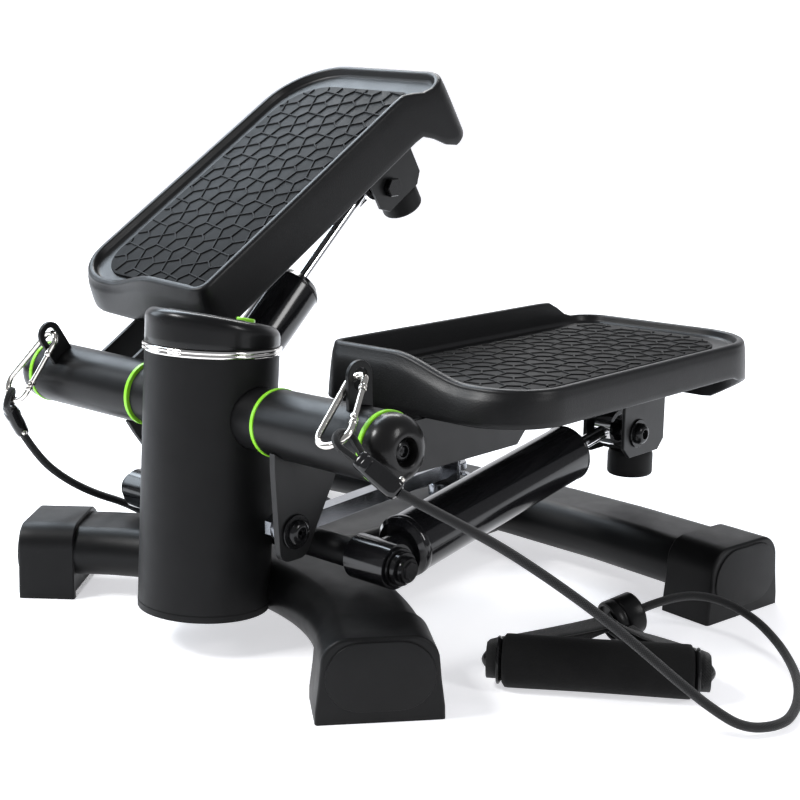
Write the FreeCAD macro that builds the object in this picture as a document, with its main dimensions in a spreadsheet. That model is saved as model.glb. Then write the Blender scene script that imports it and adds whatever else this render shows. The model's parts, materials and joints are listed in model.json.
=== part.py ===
"""Mini stepper with two elastic bands: a parametric document, one STEP file for each piece.

Frame: +X to the user's side (the right pedal is at +X), +Y towards the user, +Z up.
The origin is on the floor, on the symmetry plane, midway along the machine.
Lengths are in millimetres and angles in degrees.
"""

import FreeCAD, Part
import math
import os
import re
import Sketcher

Vector = FreeCAD.Vector
Rotation = FreeCAD.Rotation
Placement = FreeCAD.Placement

SIZES = {
    # column, leaning back towards the user
    "column_y": -165, "column_radius": 45, "column_wall": 2.5, "column_lean": 4.3,
    "column_bottom": 24, "column_top": 199, "ring_radius": 46.6, "ring_height": 5.5,
    "head_height": 17.5, "head_slope": 9.7, "head_wall": 2.5, "head_edge_radius": 7,
    "post_width": 32, "post_depth": 28, "post_y": -138, "post_top": 186, "leg_top": 51,
    # display and its button, on the sloping top of the head
    "display_width": 44, "display_depth": 26, "display_glass": 1.2,
    "button_radius": 6.5, "button_back": 29,
    # floor frame
    "tube_width": 71, "tube_thick": 37, "tube_wall": 2, "tube_z": 32,
    "beam_width": 60, "beam_thick": 36, "beam_round": 9,
    "front_leg_turn": 39.3, "front_leg_radius": 232, "rear_leg_turn": 8.4,
    "rear_leg_radius": 1350,
    "front_foot_x": 182.5, "front_foot_y": -179.8, "rear_foot_x": 247.5, "rear_foot_y": 131.6,
    "foot_width": 79, "foot_top_width": 72, "foot_length": 42, "foot_height": 54,
    "foot_corner": 17, "foot_face": 1.5, "foot_wall": 3,
    # hinge axis of the pedals: swept back towards the middle and rising outwards
    "axis_y": -146.7, "axis_z": 158, "axis_rake": 5, "axis_tilt": 1.9,
    "shaft_radius": 10, "shaft_start": 2, "shaft_end": 176, "running_gap": 0.05,
    "collar_radius": 20.5, "collar_start": 36, "collar_end": 65.5,
    "sleeve_radius": 22, "sleeve_bore": 17, "sleeve_start": 68.8, "sleeve_end": 168.6,
    "flange_radius": 22.6, "flange_thick": 3, "bushing_length": 22,
    "cap_radius": 21.6, "cap_start": 171.9, "cap_length": 17, "cap_round": 12,
    "cap_recess_radius": 8.5, "cap_recess_depth": 9,
    "socket_radius": 7, "socket_key": 3,
    # crank plate under each sleeve, and the bolt of its link rod
    "crank_x": 81.5, "crank_thick": 5, "crank_bolt_y": -155, "crank_bolt_z": 92,
    "crank_top_back": -112, "crank_top_front": -172, "crank_foot_back": -146,
    "crank_foot_front": -168, "crank_bottom": 73, "crank_corner": 8,
    # pedal, lying flat
    "pedal_inner": 45, "pedal_outer": 219, "pedal_front": -98, "pedal_back": 210,
    "pedal_rim": 190, "pedal_wall_top": 204, "pedal_skirt": 166, "pedal_lip": 136,
    "pedal_floor": 184, "pedal_floor_under": 180, "pedal_shell": 4, "pedal_band": 8,
    "inner_front_round": 20, "outer_front_round": 46, "outer_back_round": 58,
    "inner_back_round": 26, "mat_inner": 70, "mat_outer": 199, "mat_front": -74,
    "mat_back": 182, "mat_thick": 3,
    # pedal arm: a channel of sheet steel with a bracket at its back end
    "arm_inner": 103, "arm_outer": 141, "arm_sheet": 3, "arm_front": -147,
    "arm_bottom": 131, "arm_front_end": 13, "arm_skirt": 167, "arm_back": 187,
    "bracket_front": 132, "bracket_bottom": 95, "bracket_chamfer": 8,
    "bumper_x": 122, "bumper_y": 170, "bumper_radius": 17.5, "bumper_bottom": 74.5,
    # band eyelet on each sleeve
    "eyelet_along": 147, "eyelet_width": 19, "eyelet_thick": 3.2, "eyelet_rise": 40,
    "eyelet_slot": 5.2,
    # hydraulic cylinders between the lower axle and the pedal arms
    "lower_y": -114, "lower_z": 70, "lower_radius": 8, "lower_tube_radius": 10,
    "lower_tube_end": 98, "lower_end": 146, "cylinder_x": 118, "barrel_length": 34,
    "barrel_radius": 15, "cylinder_radius": 21, "cylinder_bore": 18, "cylinder_start": 21,
    "cylinder_end": 213, "rod_radius": 5, "rod_length": 186, "piston_radius": 17.9,
    "piston_thick": 14, "rod_eye_radius": 14, "rod_eye_width": 14, "rod_eye_bore": 10.4,
    "upper_y": 150, "upper_z": 113, "upper_bolt_radius": 5,
    # equaliser: two link rods and a rocker on the beam
    "rocker_y": 91, "rocker_z": 82, "rocker_arm": 32, "rocker_turn": 36.4,
    "rocker_thick": 6, "rocker_pin_radius": 4, "link_x": 73, "link_radius": 6.5,
    "link_tab": 4, "link_eye_bore": 5.8, "clevis_gap": 17, "clevis_width": 28,
    "clevis_hole": 10.3, "clevis_tip": 1, "right_fork_shift": -1.1, "left_fork_shift": -2,
    "rocker_post": 10.2, "rocker_washer": 10.5, "rocker_nut": 7.5,
    # pose shown: the left pedal is up by this angle
    "left_raise": 33.5, "cylinder_pose_trim": 0.37,
    # elastic bands
    "cord_radius": 3, "carabiner_wire": 2.2, "carabiner_small": 6.5, "carabiner_length": 62,
    "carabiner_width": 27, "knuckle_gap": 0.4, "grip_radius": 17, "grip_length": 116,
    "core_radius": 12, "knob_radius": 7.5, "connector_radius": 11.5, "connector_length": 26,
    "webbing_width": 24, "webbing_thick": 2.2,
}

doc = FreeCAD.newDocument("stepper")
sheet = doc.addObject("Spreadsheet::Sheet", "sizes")
for row, (alias, number) in enumerate(SIZES.items(), start=1):
    sheet.set(f"A{row}", alias)
    sheet.set(f"B{row}", str(number))
    sheet.setAlias(f"B{row}", alias)
doc.recompute()

PARTS = {}   # node name -> document object


# ---------------------------------------------------------------- helpers

def expression(text):
    """The text with every alias of the sheet written as the document knows it."""
    return re.sub(r"[a-z][a-z_0-9]*", lambda word: "sizes." + word.group(0)
                  if word.group(0) in SIZES else word.group(0), str(text))


def value(text):
    return float(sheet.evalExpression(expression(text)))


def bind(item, **sizes):
    for prop, text in sizes.items():
        item.setExpression(prop.replace("__", "."), expression(text))
    return item


def keep(name, item):
    item.Label = name
    PARTS[name] = item
    return item


def mirror_point(point):
    return Vector(-point.x, point.y, point.z)


def about(point, direction, degrees):
    """The placement that turns by degrees about an axis through point."""
    return Placement(Vector(0, 0, 0), Rotation(direction, degrees), point)


def along(start, direction, distance=0.0):
    """A placement whose local +Z is along direction, a distance on from start."""
    unit = Vector(direction).normalize()
    return Placement(start + unit * distance, Rotation(Vector(0, 0, 1), unit))


def cylinder(name, radius, height, place=None):
    item = bind(doc.addObject("Part::Cylinder", name), Radius=radius, Height=height)
    item.Placement = place or Placement()
    return item


def box(name, low, high, place=None):
    """A box between two corners; each corner is three expressions."""
    item = doc.addObject("Part::Box", name)
    bind(item, Length=f"({high[0]}) - ({low[0]})", Width=f"({high[1]}) - ({low[1]})",
         Height=f"({high[2]}) - ({low[2]})")
    corner = Placement(Vector(*[value(text) for text in low]), Rotation())
    item.Placement = (place or Placement()) * corner
    return item


def cut(name, base, *tools):
    for index, tool in enumerate(tools):
        item = doc.addObject("Part::Cut", f"{name}_cut{index}")
        item.Base = base
        item.Tool = tool
        base = item
    return base


def fuse(name, *items):
    item = doc.addObject("Part::MultiFuse", name + "_fuse")
    item.Shapes = list(items)
    item.Refine = True
    return item


def common(name, *items):
    item = doc.addObject("Part::MultiCommon", name + "_common")
    item.Shapes = list(items)
    return item


def group(name, *items):
    item = doc.addObject("Part::Compound", name + "_group")
    item.Links = list(items)
    return item


def sketch_on(body, name, plane, points, start="0"):
    """A closed outline on one of the body's origin planes, each corner bound to the sheet."""
    sketch = body.newObject("Sketcher::SketchObject", name)
    role = plane + "_Plane"
    support = next(item for item in body.Origin.OriginFeatures if item.Role == role)
    sketch.AttachmentSupport = (support, [""])
    sketch.MapMode = "FlatFace"
    sign = "-1 *" if plane == "XZ" else "1 *"
    bind(sketch, AttachmentOffset__Base__z=f"{sign} ({start})")
    corners = [Vector(value(u), value(v), 0) for u, v in points]
    count = len(corners)
    for index, corner in enumerate(corners):
        sketch.addGeometry(Part.LineSegment(corner, corners[(index + 1) % count]))
    for index in range(count):
        sketch.addConstraint(Sketcher.Constraint("Coincident", index, 2, (index + 1) % count, 1))
    for index, texts in enumerate(points):
        for kind, axis, text in (("DistanceX", -2, texts[0]), ("DistanceY", -1, texts[1])):
            number = value(text)
            if abs(number) < 1e-9:
                sketch.addConstraint(Sketcher.Constraint("PointOnObject", index, 1, axis))
                continue
            made = sketch.addConstraint(Sketcher.Constraint(kind, -1, 1, index, 1, number))
            label = f"{kind[-1].lower()}{index}"
            sketch.renameConstraint(made, label)
            sketch.setExpression("Constraints." + label, expression(text))
    return sketch


def prism(name, plane, points, start, length, rounds=()):
    """A padded outline. Rounds lists (corner numbers, radius) for edges along the pad."""
    body = doc.addObject("PartDesign::Body", name)
    sketch = sketch_on(body, name + "_outline", plane, points, start)
    pad = body.newObject("PartDesign::Pad", name + "_pad")
    pad.Profile = sketch
    bind(pad, Length=length)
    pad.Reversed = plane == "XZ"
    doc.recompute()
    last = pad
    drop = {"XY": 2, "XZ": 1, "YZ": 0}[plane]
    kept_axes = [axis for axis in range(3) if axis != drop]
    for number, (corners, radius) in enumerate(rounds):
        wanted = [(value(points[c][0]), value(points[c][1])) for c in corners]
        names = []
        for index, edge in enumerate(last.Shape.Edges, start=1):
            ends = [vertex.Point for vertex in edge.Vertexes]
            if len(ends) != 2 or abs(ends[0][drop] - ends[1][drop]) < 1e-6:
                continue
            places = {tuple(round(end[axis], 4) for axis in kept_axes) for end in ends}
            if len(places) == 1 and any(math.dist(places.copy().pop(), want) < 1e-3
                                        for want in wanted):
                names.append(f"Edge{index}")
        fillet = body.newObject("PartDesign::Fillet", f"{name}_round{number}")
        fillet.Base = (last, names)
        bind(fillet, Radius=radius)
        doc.recompute()
        last = fillet
    return body


def lathe(name, points, place=None):
    """A turned piece: (radius, height) corners revolved about the local Z axis."""
    body = doc.addObject("PartDesign::Body", name)
    sketch = sketch_on(body, name + "_profile", "XZ", points)
    turn = body.newObject("PartDesign::Revolution", name + "_turn")
    turn.Profile = sketch
    turn.ReferenceAxis = (sketch, ["V_Axis"])
    turn.Angle = 360
    body.Placement = place or Placement()
    return body


def rounded(name, base, radius, wanted):
    """Base with the edges that wanted(edge) picks rounded."""
    doc.recompute()
    item = doc.addObject("Part::Fillet", name + "_rounded")
    item.Base = base
    size = value(radius)
    item.Edges = [(index, size, size) for index, edge in enumerate(base.Shape.Edges, start=1)
                  if wanted(edge)]
    return item


def mirrored(name, source, place=None):
    item = doc.addObject("Part::Mirroring", name)
    item.Source = source
    item.Base = Vector(0, 0, 0)
    item.Normal = Vector(1, 0, 0)
    item.Placement = place or Placement()
    return item


def oval(centre, normal, side, width, thick):
    """A closed wire with two straight sides and round ends, square to normal."""
    half = (width - thick) / 2
    radius = thick / 2
    across = Vector(side).normalize()
    up = Vector(normal).cross(across).normalize()
    right = centre + across * half
    left = centre - across * half
    return Part.Wire([
        Part.LineSegment(left + up * radius, right + up * radius).toShape(),
        Part.Arc(right + up * radius, right + across * radius, right - up * radius).toShape(),
        Part.LineSegment(right - up * radius, left - up * radius).toShape(),
        Part.Arc(left - up * radius, left - across * radius, left + up * radius).toShape(),
    ])


def shape_part(name, shape):
    item = doc.addObject("Part::Feature", name)
    item.Shape = shape
    return item


# ---------------------------------------------------------------- places

COLUMN = Placement(Vector(0, value("column_y"), 0), Rotation(Vector(1, 0, 0), -value("column_lean")))
AXIS_POINT = Vector(0, value("axis_y"), value("axis_z"))
AXIS_TURN = (Rotation(Vector(0, 0, 1), -value("axis_rake"))
             * Rotation(Vector(0, 1, 0), -value("axis_tilt")))
AXIS = AXIS_TURN.multVec(Vector(1, 0, 0))
SLEEVE = Placement(AXIS_POINT, AXIS_TURN)
LEFT_AXIS = Vector(AXIS.x, -AXIS.y, -AXIS.z)
LEFT_POSE = about(AXIS_POINT, LEFT_AXIS, value("left_raise"))


def on_axis(distance):
    """A placement with +Z along the right hinge axis, a distance from the middle plane."""
    return along(AXIS_POINT, AXIS, value(distance))


# ---------------------------------------------------------------- floor frame

def leg_tube(name, turn, radius, foot_x, foot_y):
    """A flat oval tube, straight in its end caps and bowed between them."""
    z = value("tube_z")
    angle = math.radians(value(turn))
    bend = value(radius)
    outward = Vector(math.cos(angle), -math.sin(angle), 0)
    end = Vector(value(foot_x), value(foot_y), z) - outward * value("foot_wall + 1")
    arc_x = bend * math.sin(angle)
    straight = (end.x - arc_x) / outward.x
    arc_end = end - outward * straight
    middle = Vector(0, arc_end.y + bend * (1 - math.cos(angle)), z)
    far_end, far_arc_end = mirror_point(end), mirror_point(arc_end)
    spine = Part.Wire([
        Part.LineSegment(far_end, far_arc_end).toShape(),
        Part.Arc(far_arc_end, middle, arc_end).toShape(),
        Part.LineSegment(arc_end, end).toShape(),
    ])
    heading = Vector(outward.x, -outward.y, 0)
    side = Vector(outward.y, outward.x, 0)
    width, thick, wall = value("tube_width"), value("tube_thick"), value("tube_wall")

    def sweep(grow):
        section = oval(far_end, heading, side, width + grow, thick + grow)
        return spine.makePipeShell([section], True, False)
    tube = shape_part(name, sweep(0).cut(sweep(-2 * wall)))
    return tube, shape_part(name + "_notch", sweep(1)), middle.y


def foot_cap(name, foot_x, foot_y, turn):
    """A rubber cap over a leg's end: flared to the floor, with a raised oval face."""
    half, top = "foot_width / 2", "foot_top_width / 2"
    block = prism(name + "_block", "YZ", [
        (f"-({half})", "0"), (half, "0"), (top, "foot_height * 0.62"), (top, "foot_height"),
        (f"-({top})", "foot_height"), (f"-({top})", "foot_height * 0.62")],
        "-foot_length", "foot_length", rounds=[((3, 4), "foot_corner")])
    width, thick, z = value("tube_width"), value("tube_thick"), value("tube_z")
    face = Part.Face(oval(Vector(0, 0, z), Vector(1, 0, 0), Vector(0, 1, 0), width, thick))
    raised = shape_part(name + "_face", face.extrude(Vector(value("foot_face"), 0, 0)))
    hole_face = Part.Face(oval(Vector(-value("foot_length"), 0, z), Vector(1, 0, 0),
                               Vector(0, 1, 0), width, thick))
    depth = value("foot_length") - value("foot_wall") - 1
    hole = shape_part(name + "_hole", hole_face.extrude(Vector(depth, 0, 0)))
    cap = cut(name, fuse(name, block, raised), hole)
    cap.Placement = Placement(Vector(value(foot_x), value(foot_y), 0),
                              Rotation(Vector(0, 0, 1), -value(turn)))
    return cap


def build_floor_frame():
    front, notch, front_y = leg_tube("front_leg", "front_leg_turn", "front_leg_radius",
                                     "front_foot_x", "front_foot_y")
    keep("front_leg_tube", front)
    rear, rear_notch, rear_y = leg_tube("rear_leg", "rear_leg_turn", "rear_leg_radius",
                                        "rear_foot_x", "rear_foot_y")
    keep("rear_leg_tube", rear)
    front_end, back_end = f"({front_y})", f"({rear_y})"

    def beam_solid(name, inset):
        half, rise = f"(beam_width / 2 - {inset})", f"(beam_thick / 2 - {inset})"
        return prism(name, "XZ", [
            (f"-{half}", f"tube_z - {rise}"), (half, f"tube_z - {rise}"),
            (half, f"tube_z + {rise}"), (f"-{half}", f"tube_z + {rise}")],
            front_end, f"{back_end} - {front_end}",
            rounds=[((0, 1, 2, 3), f"beam_round - {inset}")])
    keep("main_beam", cut("beam", beam_solid("beam_outer", "0"),
                          beam_solid("beam_hollow", "tube_wall"), notch, rear_notch))
    for name, x, y, turn in (("front_foot", "front_foot_x", "front_foot_y", "front_leg_turn"),
                             ("rear_foot", "rear_foot_x", "rear_foot_y", "rear_leg_turn")):
        right = foot_cap(name, x, y, turn)
        keep(name + "_caps", group(name, right, mirrored(name + "_left", right)))
    return notch


# ---------------------------------------------------------------- column and head

def build_column(notch):
    outer = cylinder("column_outer", "column_radius", "column_top - column_bottom")
    outer.Placement = COLUMN * Placement(Vector(0, 0, value("column_bottom")), Rotation())
    inner = cylinder("column_inner", "column_radius - column_wall", "column_top - column_bottom")
    inner.Placement = outer.Placement
    collar_hole = cylinder("collar_hole", "collar_radius + 0.3", "80", on_axis("20"))
    left_hole = mirrored("collar_hole_left", collar_hole)
    beam_notch = box("beam_notch", ("-beam_width / 2 - 0.5", "column_y + 20", "0"),
                     ("beam_width / 2 + 0.5", "column_y + 90", "leg_top + 0.5"))
    axle_notch = box("axle_notch", ("-60", "lower_y - lower_tube_radius - 1", "leg_top - 5"),
                     ("60", "lower_y + 30", "lower_z + lower_tube_radius + 1"))
    shroud = cut("shroud", outer, inner, notch, collar_hole, left_hole, beam_notch, axle_notch)
    keep("column_tube", shroud)

    shaft_hole = cylinder("shaft_hole", "shaft_radius", "90", on_axis("0"))
    half_w, half_d = "post_width / 2", "post_depth / 2"
    post = box("post_block", (f"-{half_w}", f"post_y - {half_d}", "leg_top - 2"),
               (half_w, f"post_y + {half_d}", "post_top"))
    core = box("post_core", (f"-{half_w} + 3", f"post_y - {half_d} + 3", "leg_top - 2"),
               (f"{half_w} - 3", f"post_y + {half_d} - 3", "post_top"))
    axle_hole = cylinder("post_axle_hole", "lower_tube_radius", "80", Placement(
        Vector(-40, value("lower_y"), value("lower_z")), Rotation(Vector(0, 1, 0), 90)))
    keep("column_post", cut("post", post, core, notch, shaft_hole,
                            mirrored("shaft_hole_left", shaft_hole), axle_hole))

    ring_base = COLUMN * Placement(Vector(0, 0, value("column_top")), Rotation())
    ring = cut("ring", cylinder("ring_outer", "ring_radius", "ring_height", ring_base),
               cylinder("ring_inner", "column_radius - column_wall", "ring_height", ring_base))
    keep("chrome_ring", rounded("chrome_ring", ring, "2",
                                lambda edge: edge.Length > 2 * math.pi * value("column_radius")))


def build_head():
    base = COLUMN * Placement(Vector(0, 0, value("column_top + ring_height")), Rotation())
    top = value("head_height")
    slope = Placement(Vector(0, 0, top), Rotation(Vector(1, 0, 0), -value("head_slope")))
    solid = cylinder("head_solid", "column_radius", "head_height + 20", base)
    above = box("head_above", ("-60", "-60", "0"), ("60", "60", "60"), base * slope)
    sloped = cut("head_slope", solid, above)

    def top_edge(edge):
        points = [(base * slope).inverse() * vertex.Point for vertex in edge.Vertexes]
        return edge.Length > 200 and all(abs(point.z) < 1e-3 for point in points)
    smooth = rounded("head", sloped, "head_edge_radius", top_edge)
    wall = value("head_wall")
    core = cylinder("head_core", "column_radius - head_wall", "head_height + 20", base)
    core_above = box("head_core_above", ("-60", "-60", "0"), ("60", "60", "60"),
                     base * Placement(Vector(0, 0, top - wall), slope.Rotation))
    core_low = cut("head_core_low", core, core_above)
    half_w, half_d = "display_width / 2", "display_depth / 2"
    window_hole = box("window_hole", (f"-{half_w}", f"-{half_d} - 6", "-8"),
                      (half_w, f"{half_d} - 6", "8"), base * slope)
    button_place = base * slope * Placement(Vector(0, value("button_back"), 0), Rotation())
    button_hole = cylinder("button_hole", "button_radius + 0.3", "16",
                           button_place * Placement(Vector(0, 0, -8), Rotation()))
    keep("head_housing", cut("housing", smooth, core_low, window_hole, button_hole))

    keep("display_window", box("display_window", (f"-{half_w}", f"-{half_d} - 6", "-display_glass - 0.4"),
                               (half_w, f"{half_d} - 6", "-0.4"), base * slope))
    keep("lcd_panel", box("lcd_panel", (f"-{half_w} + 3", f"-{half_d} - 3", "-display_glass - 2.9"),
                          (f"{half_w} - 3", f"{half_d} - 9", "-display_glass - 0.7"), base * slope))
    keep("circuit_board", box("circuit_board", ("-27", "-24", "-7.6"), ("27", "22", "-6"),
                              base * slope))
    keep("coin_cell", cylinder("coin_cell", "10", "3.2",
                               base * slope * Placement(Vector(0, -6, -11), Rotation())))
    cap = lathe("button_cap", [("0", "-3"), ("button_radius + 1.5", "-3"),
                               ("button_radius + 1.5", "-2.8"), ("button_radius", "-2.8"),
                               ("button_radius", "3.4"), ("button_radius - 1", "4"), ("0", "4")],
                button_place * Placement(Vector(0, 0, -1), Rotation()))
    keep("display_button", cap)


# ---------------------------------------------------------------- hinge axles

def build_axles():
    shaft = cylinder("shaft_right", "shaft_radius", "shaft_end - shaft_start",
                     on_axis("shaft_start"))
    keep("axle_shafts", group("axle_shafts", shaft, mirrored("shaft_left", shaft)))
    collar = lathe("collar_right", [
        ("shaft_radius", "0"), ("collar_radius - 3", "0"), ("collar_radius", "3"),
        ("collar_radius", "collar_end - collar_start"),
        ("shaft_radius", "collar_end - collar_start")], on_axis("collar_start"))
    keep("axle_collars", group("axle_collars", collar, mirrored("collar_left", collar)))
    cap_body = lathe("cap_right", [
        ("0", "shaft_end - cap_start"), ("shaft_radius", "shaft_end - cap_start"),
        ("shaft_radius", "0"), ("cap_radius", "0"), ("cap_radius", "cap_length"),
        ("cap_recess_radius", "cap_length"),
        ("cap_recess_radius", "cap_length - cap_recess_depth"),
        ("0", "cap_length - cap_recess_depth")], on_axis("cap_start"))
    rim_length = 2 * math.pi * value("cap_radius")
    outer_end = AXIS_POINT + AXIS * value("cap_start + cap_length")

    def end_rim(edge):
        return abs(edge.Length - rim_length) < 1e-3 and (edge.CenterOfMass - outer_end).Length < 1
    cap = rounded("cap", cap_body, "cap_round", end_rim)
    keep("axle_caps", group("axle_caps", cap, mirrored("cap_left", cap)))


def build_lower_axle():
    rod = cylinder("lower_rod", "lower_radius", "2 * lower_end", Placement(
        Vector(-value("lower_end"), value("lower_y"), value("lower_z")), Rotation(Vector(0, 1, 0), 90)))
    tube = cylinder("lower_tube", "lower_tube_radius", "2 * lower_tube_end", Placement(
        Vector(-value("lower_tube_end"), value("lower_y"), value("lower_z")),
        Rotation(Vector(0, 1, 0), 90)))
    keep("lower_axle", fuse("lower_axle", rod, tube))


def build_base_fasteners():
    """Cap screws of the hinge axles, lower axle washers and nuts, and the rocker's bolt."""
    screw = lathe("cap_screw", [
        ("socket_key", "0"), ("socket_radius", "0"), ("socket_radius", "6"),
        ("socket_key", "6")], along(AXIS_POINT, AXIS, value(
            "cap_start + cap_length - cap_recess_depth")))
    washer = lathe("lower_washer", [
        ("lower_radius", "0"), ("13", "0"), ("13", "2"), ("11", "2.5"), ("11", "8"),
        ("9", "10"), ("lower_radius", "10")], Placement(
            Vector(value("cylinder_x + barrel_length / 2 + 0.4"), value("lower_y"), value("lower_z")),
            Rotation(Vector(0, 1, 0), 90)))
    bolt = lathe("rocker_bolt", [
        ("0", "tube_z + beam_thick / 2"), ("14", "tube_z + beam_thick / 2"),
        ("14", "tube_z + beam_thick / 2 + 10"), ("rocker_post", "tube_z + beam_thick / 2 + 12"),
        ("rocker_post", "rocker_z - rocker_thick / 2 - 0.3"),
        ("8", "rocker_z - rocker_thick / 2 - 0.3"),
        ("8", "rocker_z + rocker_thick / 2 + 0.3"),
        ("rocker_washer", "rocker_z + rocker_thick / 2 + 0.3"),
        ("rocker_washer", "rocker_z + rocker_thick / 2 + 2"),
        ("rocker_nut", "rocker_z + rocker_thick / 2 + 2"),
        ("rocker_nut", "rocker_z + rocker_thick / 2 + 9"), ("0", "rocker_z + rocker_thick / 2 + 9")],
        Placement(Vector(0, value("rocker_y"), 0), Rotation()))
    keep("base_fasteners", group("base_fasteners", screw, mirrored("cap_screw_left", screw),
                                 washer, mirrored("lower_washer_left", washer), bolt))


# ---------------------------------------------------------------- pedals

def sleeve_solid(name, extra="0"):
    return cylinder(name, f"sleeve_radius + {extra}", "sleeve_end - sleeve_start",
                    on_axis("sleeve_start"))


def build_sleeve():
    tube = cut("sleeve", sleeve_solid("sleeve_outer"),
               cylinder("sleeve_inner", "sleeve_bore", "sleeve_end - sleeve_start",
                        on_axis("sleeve_start")))
    profile = [("shaft_radius + running_gap", "0"), ("flange_radius", "0"),
               ("flange_radius", "flange_thick"), ("sleeve_bore", "flange_thick"),
               ("sleeve_bore", "flange_thick + bushing_length"),
               ("shaft_radius + running_gap", "flange_thick + bushing_length")]
    inner = lathe("bushing_inner", profile, on_axis("sleeve_start - flange_thick"))
    outer = lathe("bushing_outer", profile,
                  along(AXIS_POINT + AXIS * value("sleeve_end + flange_thick"), AXIS * -1))
    return {"sleeve": tube, "flanged_bushings": group("bushings", inner, outer)}


def build_crank():
    plate = prism("crank_profile", "YZ", [
        ("crank_top_front", "axis_z + 6"), ("crank_top_front", "axis_z - 24"),
        ("crank_foot_front", "crank_bottom"),
        ("crank_foot_back", "crank_bottom"), ("crank_top_back", "axis_z - 24"),
        ("crank_top_back", "axis_z + 6")],
        "crank_x - crank_thick / 2", "crank_thick", rounds=[((2, 3), "crank_corner")])
    trim = box("crank_trim", ("0", "-400", "axis_z - 12"), ("300", "0", "axis_z + 80"))
    bolt_hole = cylinder("crank_hole", "5", "40", Placement(
        Vector(value("crank_x") - 20, value("crank_bolt_y"), value("crank_bolt_z")),
        Rotation(Vector(0, 1, 0), 90)))
    return {"crank_plate": cut("crank", plate, trim, sleeve_solid("crank_sleeve"), bolt_hole)}


def build_arm():
    side = [
        ("arm_front", "pedal_skirt"), ("arm_front", "arm_bottom + 8"), ("arm_front + 8", "arm_bottom"),
        ("arm_front_end - 12", "arm_bottom"), ("arm_front_end", "arm_bottom + 12"),
        ("arm_front_end", "arm_skirt"), ("bracket_front", "arm_skirt"),
        ("bracket_front", "bracket_bottom + bracket_chamfer"),
        ("bracket_front + bracket_chamfer", "bracket_bottom"),
        ("arm_back - bracket_chamfer", "bracket_bottom"),
        ("arm_back", "bracket_bottom + bracket_chamfer"), ("arm_back", "pedal_floor_under"),
        ("pedal_front + pedal_shell + 1", "pedal_floor_under"),
        ("pedal_front + pedal_shell + 1", "pedal_skirt")]
    inner = prism("arm_side_inner", "YZ", side, "arm_inner", "arm_sheet")
    outer = prism("arm_side_outer", "YZ", side, "arm_outer - arm_sheet", "arm_sheet")
    top = box("arm_top", ("arm_inner", "pedal_front + 10", "pedal_floor_under - arm_sheet"),
              ("arm_outer", "arm_back", "pedal_floor_under"))
    seat = box("bumper_seat", ("arm_inner", "upper_y + 7", "bracket_bottom"),
               ("arm_outer", "arm_back - bracket_chamfer", "bracket_bottom + arm_sheet"))
    holes = cylinder("upper_hole", "upper_bolt_radius", "60", Placement(
        Vector(value("arm_inner") - 10, value("upper_y"), value("upper_z")),
        Rotation(Vector(0, 1, 0), 90)))
    return {"pedal_arm": cut("arm", fuse("arm", inner, outer, top, seat),
                             sleeve_solid("arm_sleeve"), holes)}


def pedal_outline(name, inset, start, length, edge_inset="0"):
    """The pedal's plan, moved in by inset: large rounds outside, small ones inside."""
    low_x, high_x = f"pedal_inner + {inset}", f"pedal_outer - {inset}"
    low_y, high_y = f"pedal_front + {inset}", f"pedal_back - {inset}"
    return prism(name, "XY", [(low_x, low_y), (high_x, low_y), (high_x, high_y), (low_x, high_y)],
                 start, length, rounds=[
                     ((0,), f"inner_front_round - {inset}"), ((1,), f"outer_front_round - {inset}"),
                     ((2,), f"outer_back_round - {inset}"), ((3,), f"inner_back_round - {inset}")])


def build_pedal():
    block = pedal_outline("pedal_block", "0", "pedal_lip", "pedal_wall_top - pedal_lip")
    across = prism("pedal_across", "XZ", [
        ("pedal_inner - 5", "pedal_lip"), ("pedal_outer - 52", "pedal_lip"),
        ("pedal_outer + 5", "pedal_skirt"), ("pedal_outer + 5", "pedal_rim"),
        ("pedal_inner + 122", "pedal_rim"), ("pedal_inner + 108", "pedal_rim + 2"),
        ("pedal_inner + 82", "pedal_wall_top - 2"), ("pedal_inner + 66", "pedal_wall_top"),
        ("pedal_inner - 5", "pedal_wall_top")], "pedal_front - 5", "pedal_back - pedal_front + 10")
    lengthwise = prism("pedal_lengthwise", "YZ", [
        ("pedal_front - 5", "pedal_skirt"), ("pedal_back - 56", "pedal_skirt"),
        ("pedal_back - 36", "pedal_lip + 12"), ("pedal_back - 26", "pedal_lip"),
        ("pedal_back + 5", "pedal_lip"), ("pedal_back + 5", "pedal_rim"),
        ("pedal_back - 28", "pedal_rim"), ("pedal_back - 36", "pedal_rim + 2"),
        ("pedal_back - 48", "pedal_wall_top - 2"), ("pedal_back - 56", "pedal_wall_top"),
        ("pedal_front - 5", "pedal_wall_top")],
        "pedal_inner - 5", "pedal_outer - pedal_inner + 10")
    recess = pedal_outline("pedal_recess", "pedal_band", "pedal_floor", "pedal_wall_top")
    hollow = pedal_outline("pedal_hollow", "pedal_shell", "pedal_lip - 5",
                           "pedal_floor_under - pedal_lip + 5")
    shell = cut("shell", common("shell", block, across, lengthwise), recess, hollow)
    mat = prism("mat_block", "XY", [("mat_inner", "mat_front"), ("mat_outer", "mat_front"),
                                    ("mat_outer", "mat_back"), ("mat_inner", "mat_back")],
                "pedal_floor", "mat_thick", rounds=[
                    ((0, 3), "12"), ((1,), "outer_front_round - 18"), ((2,), "outer_back_round - 18")])
    return {"pedal_shell": shell, "pedal_mat": mat}


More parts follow.
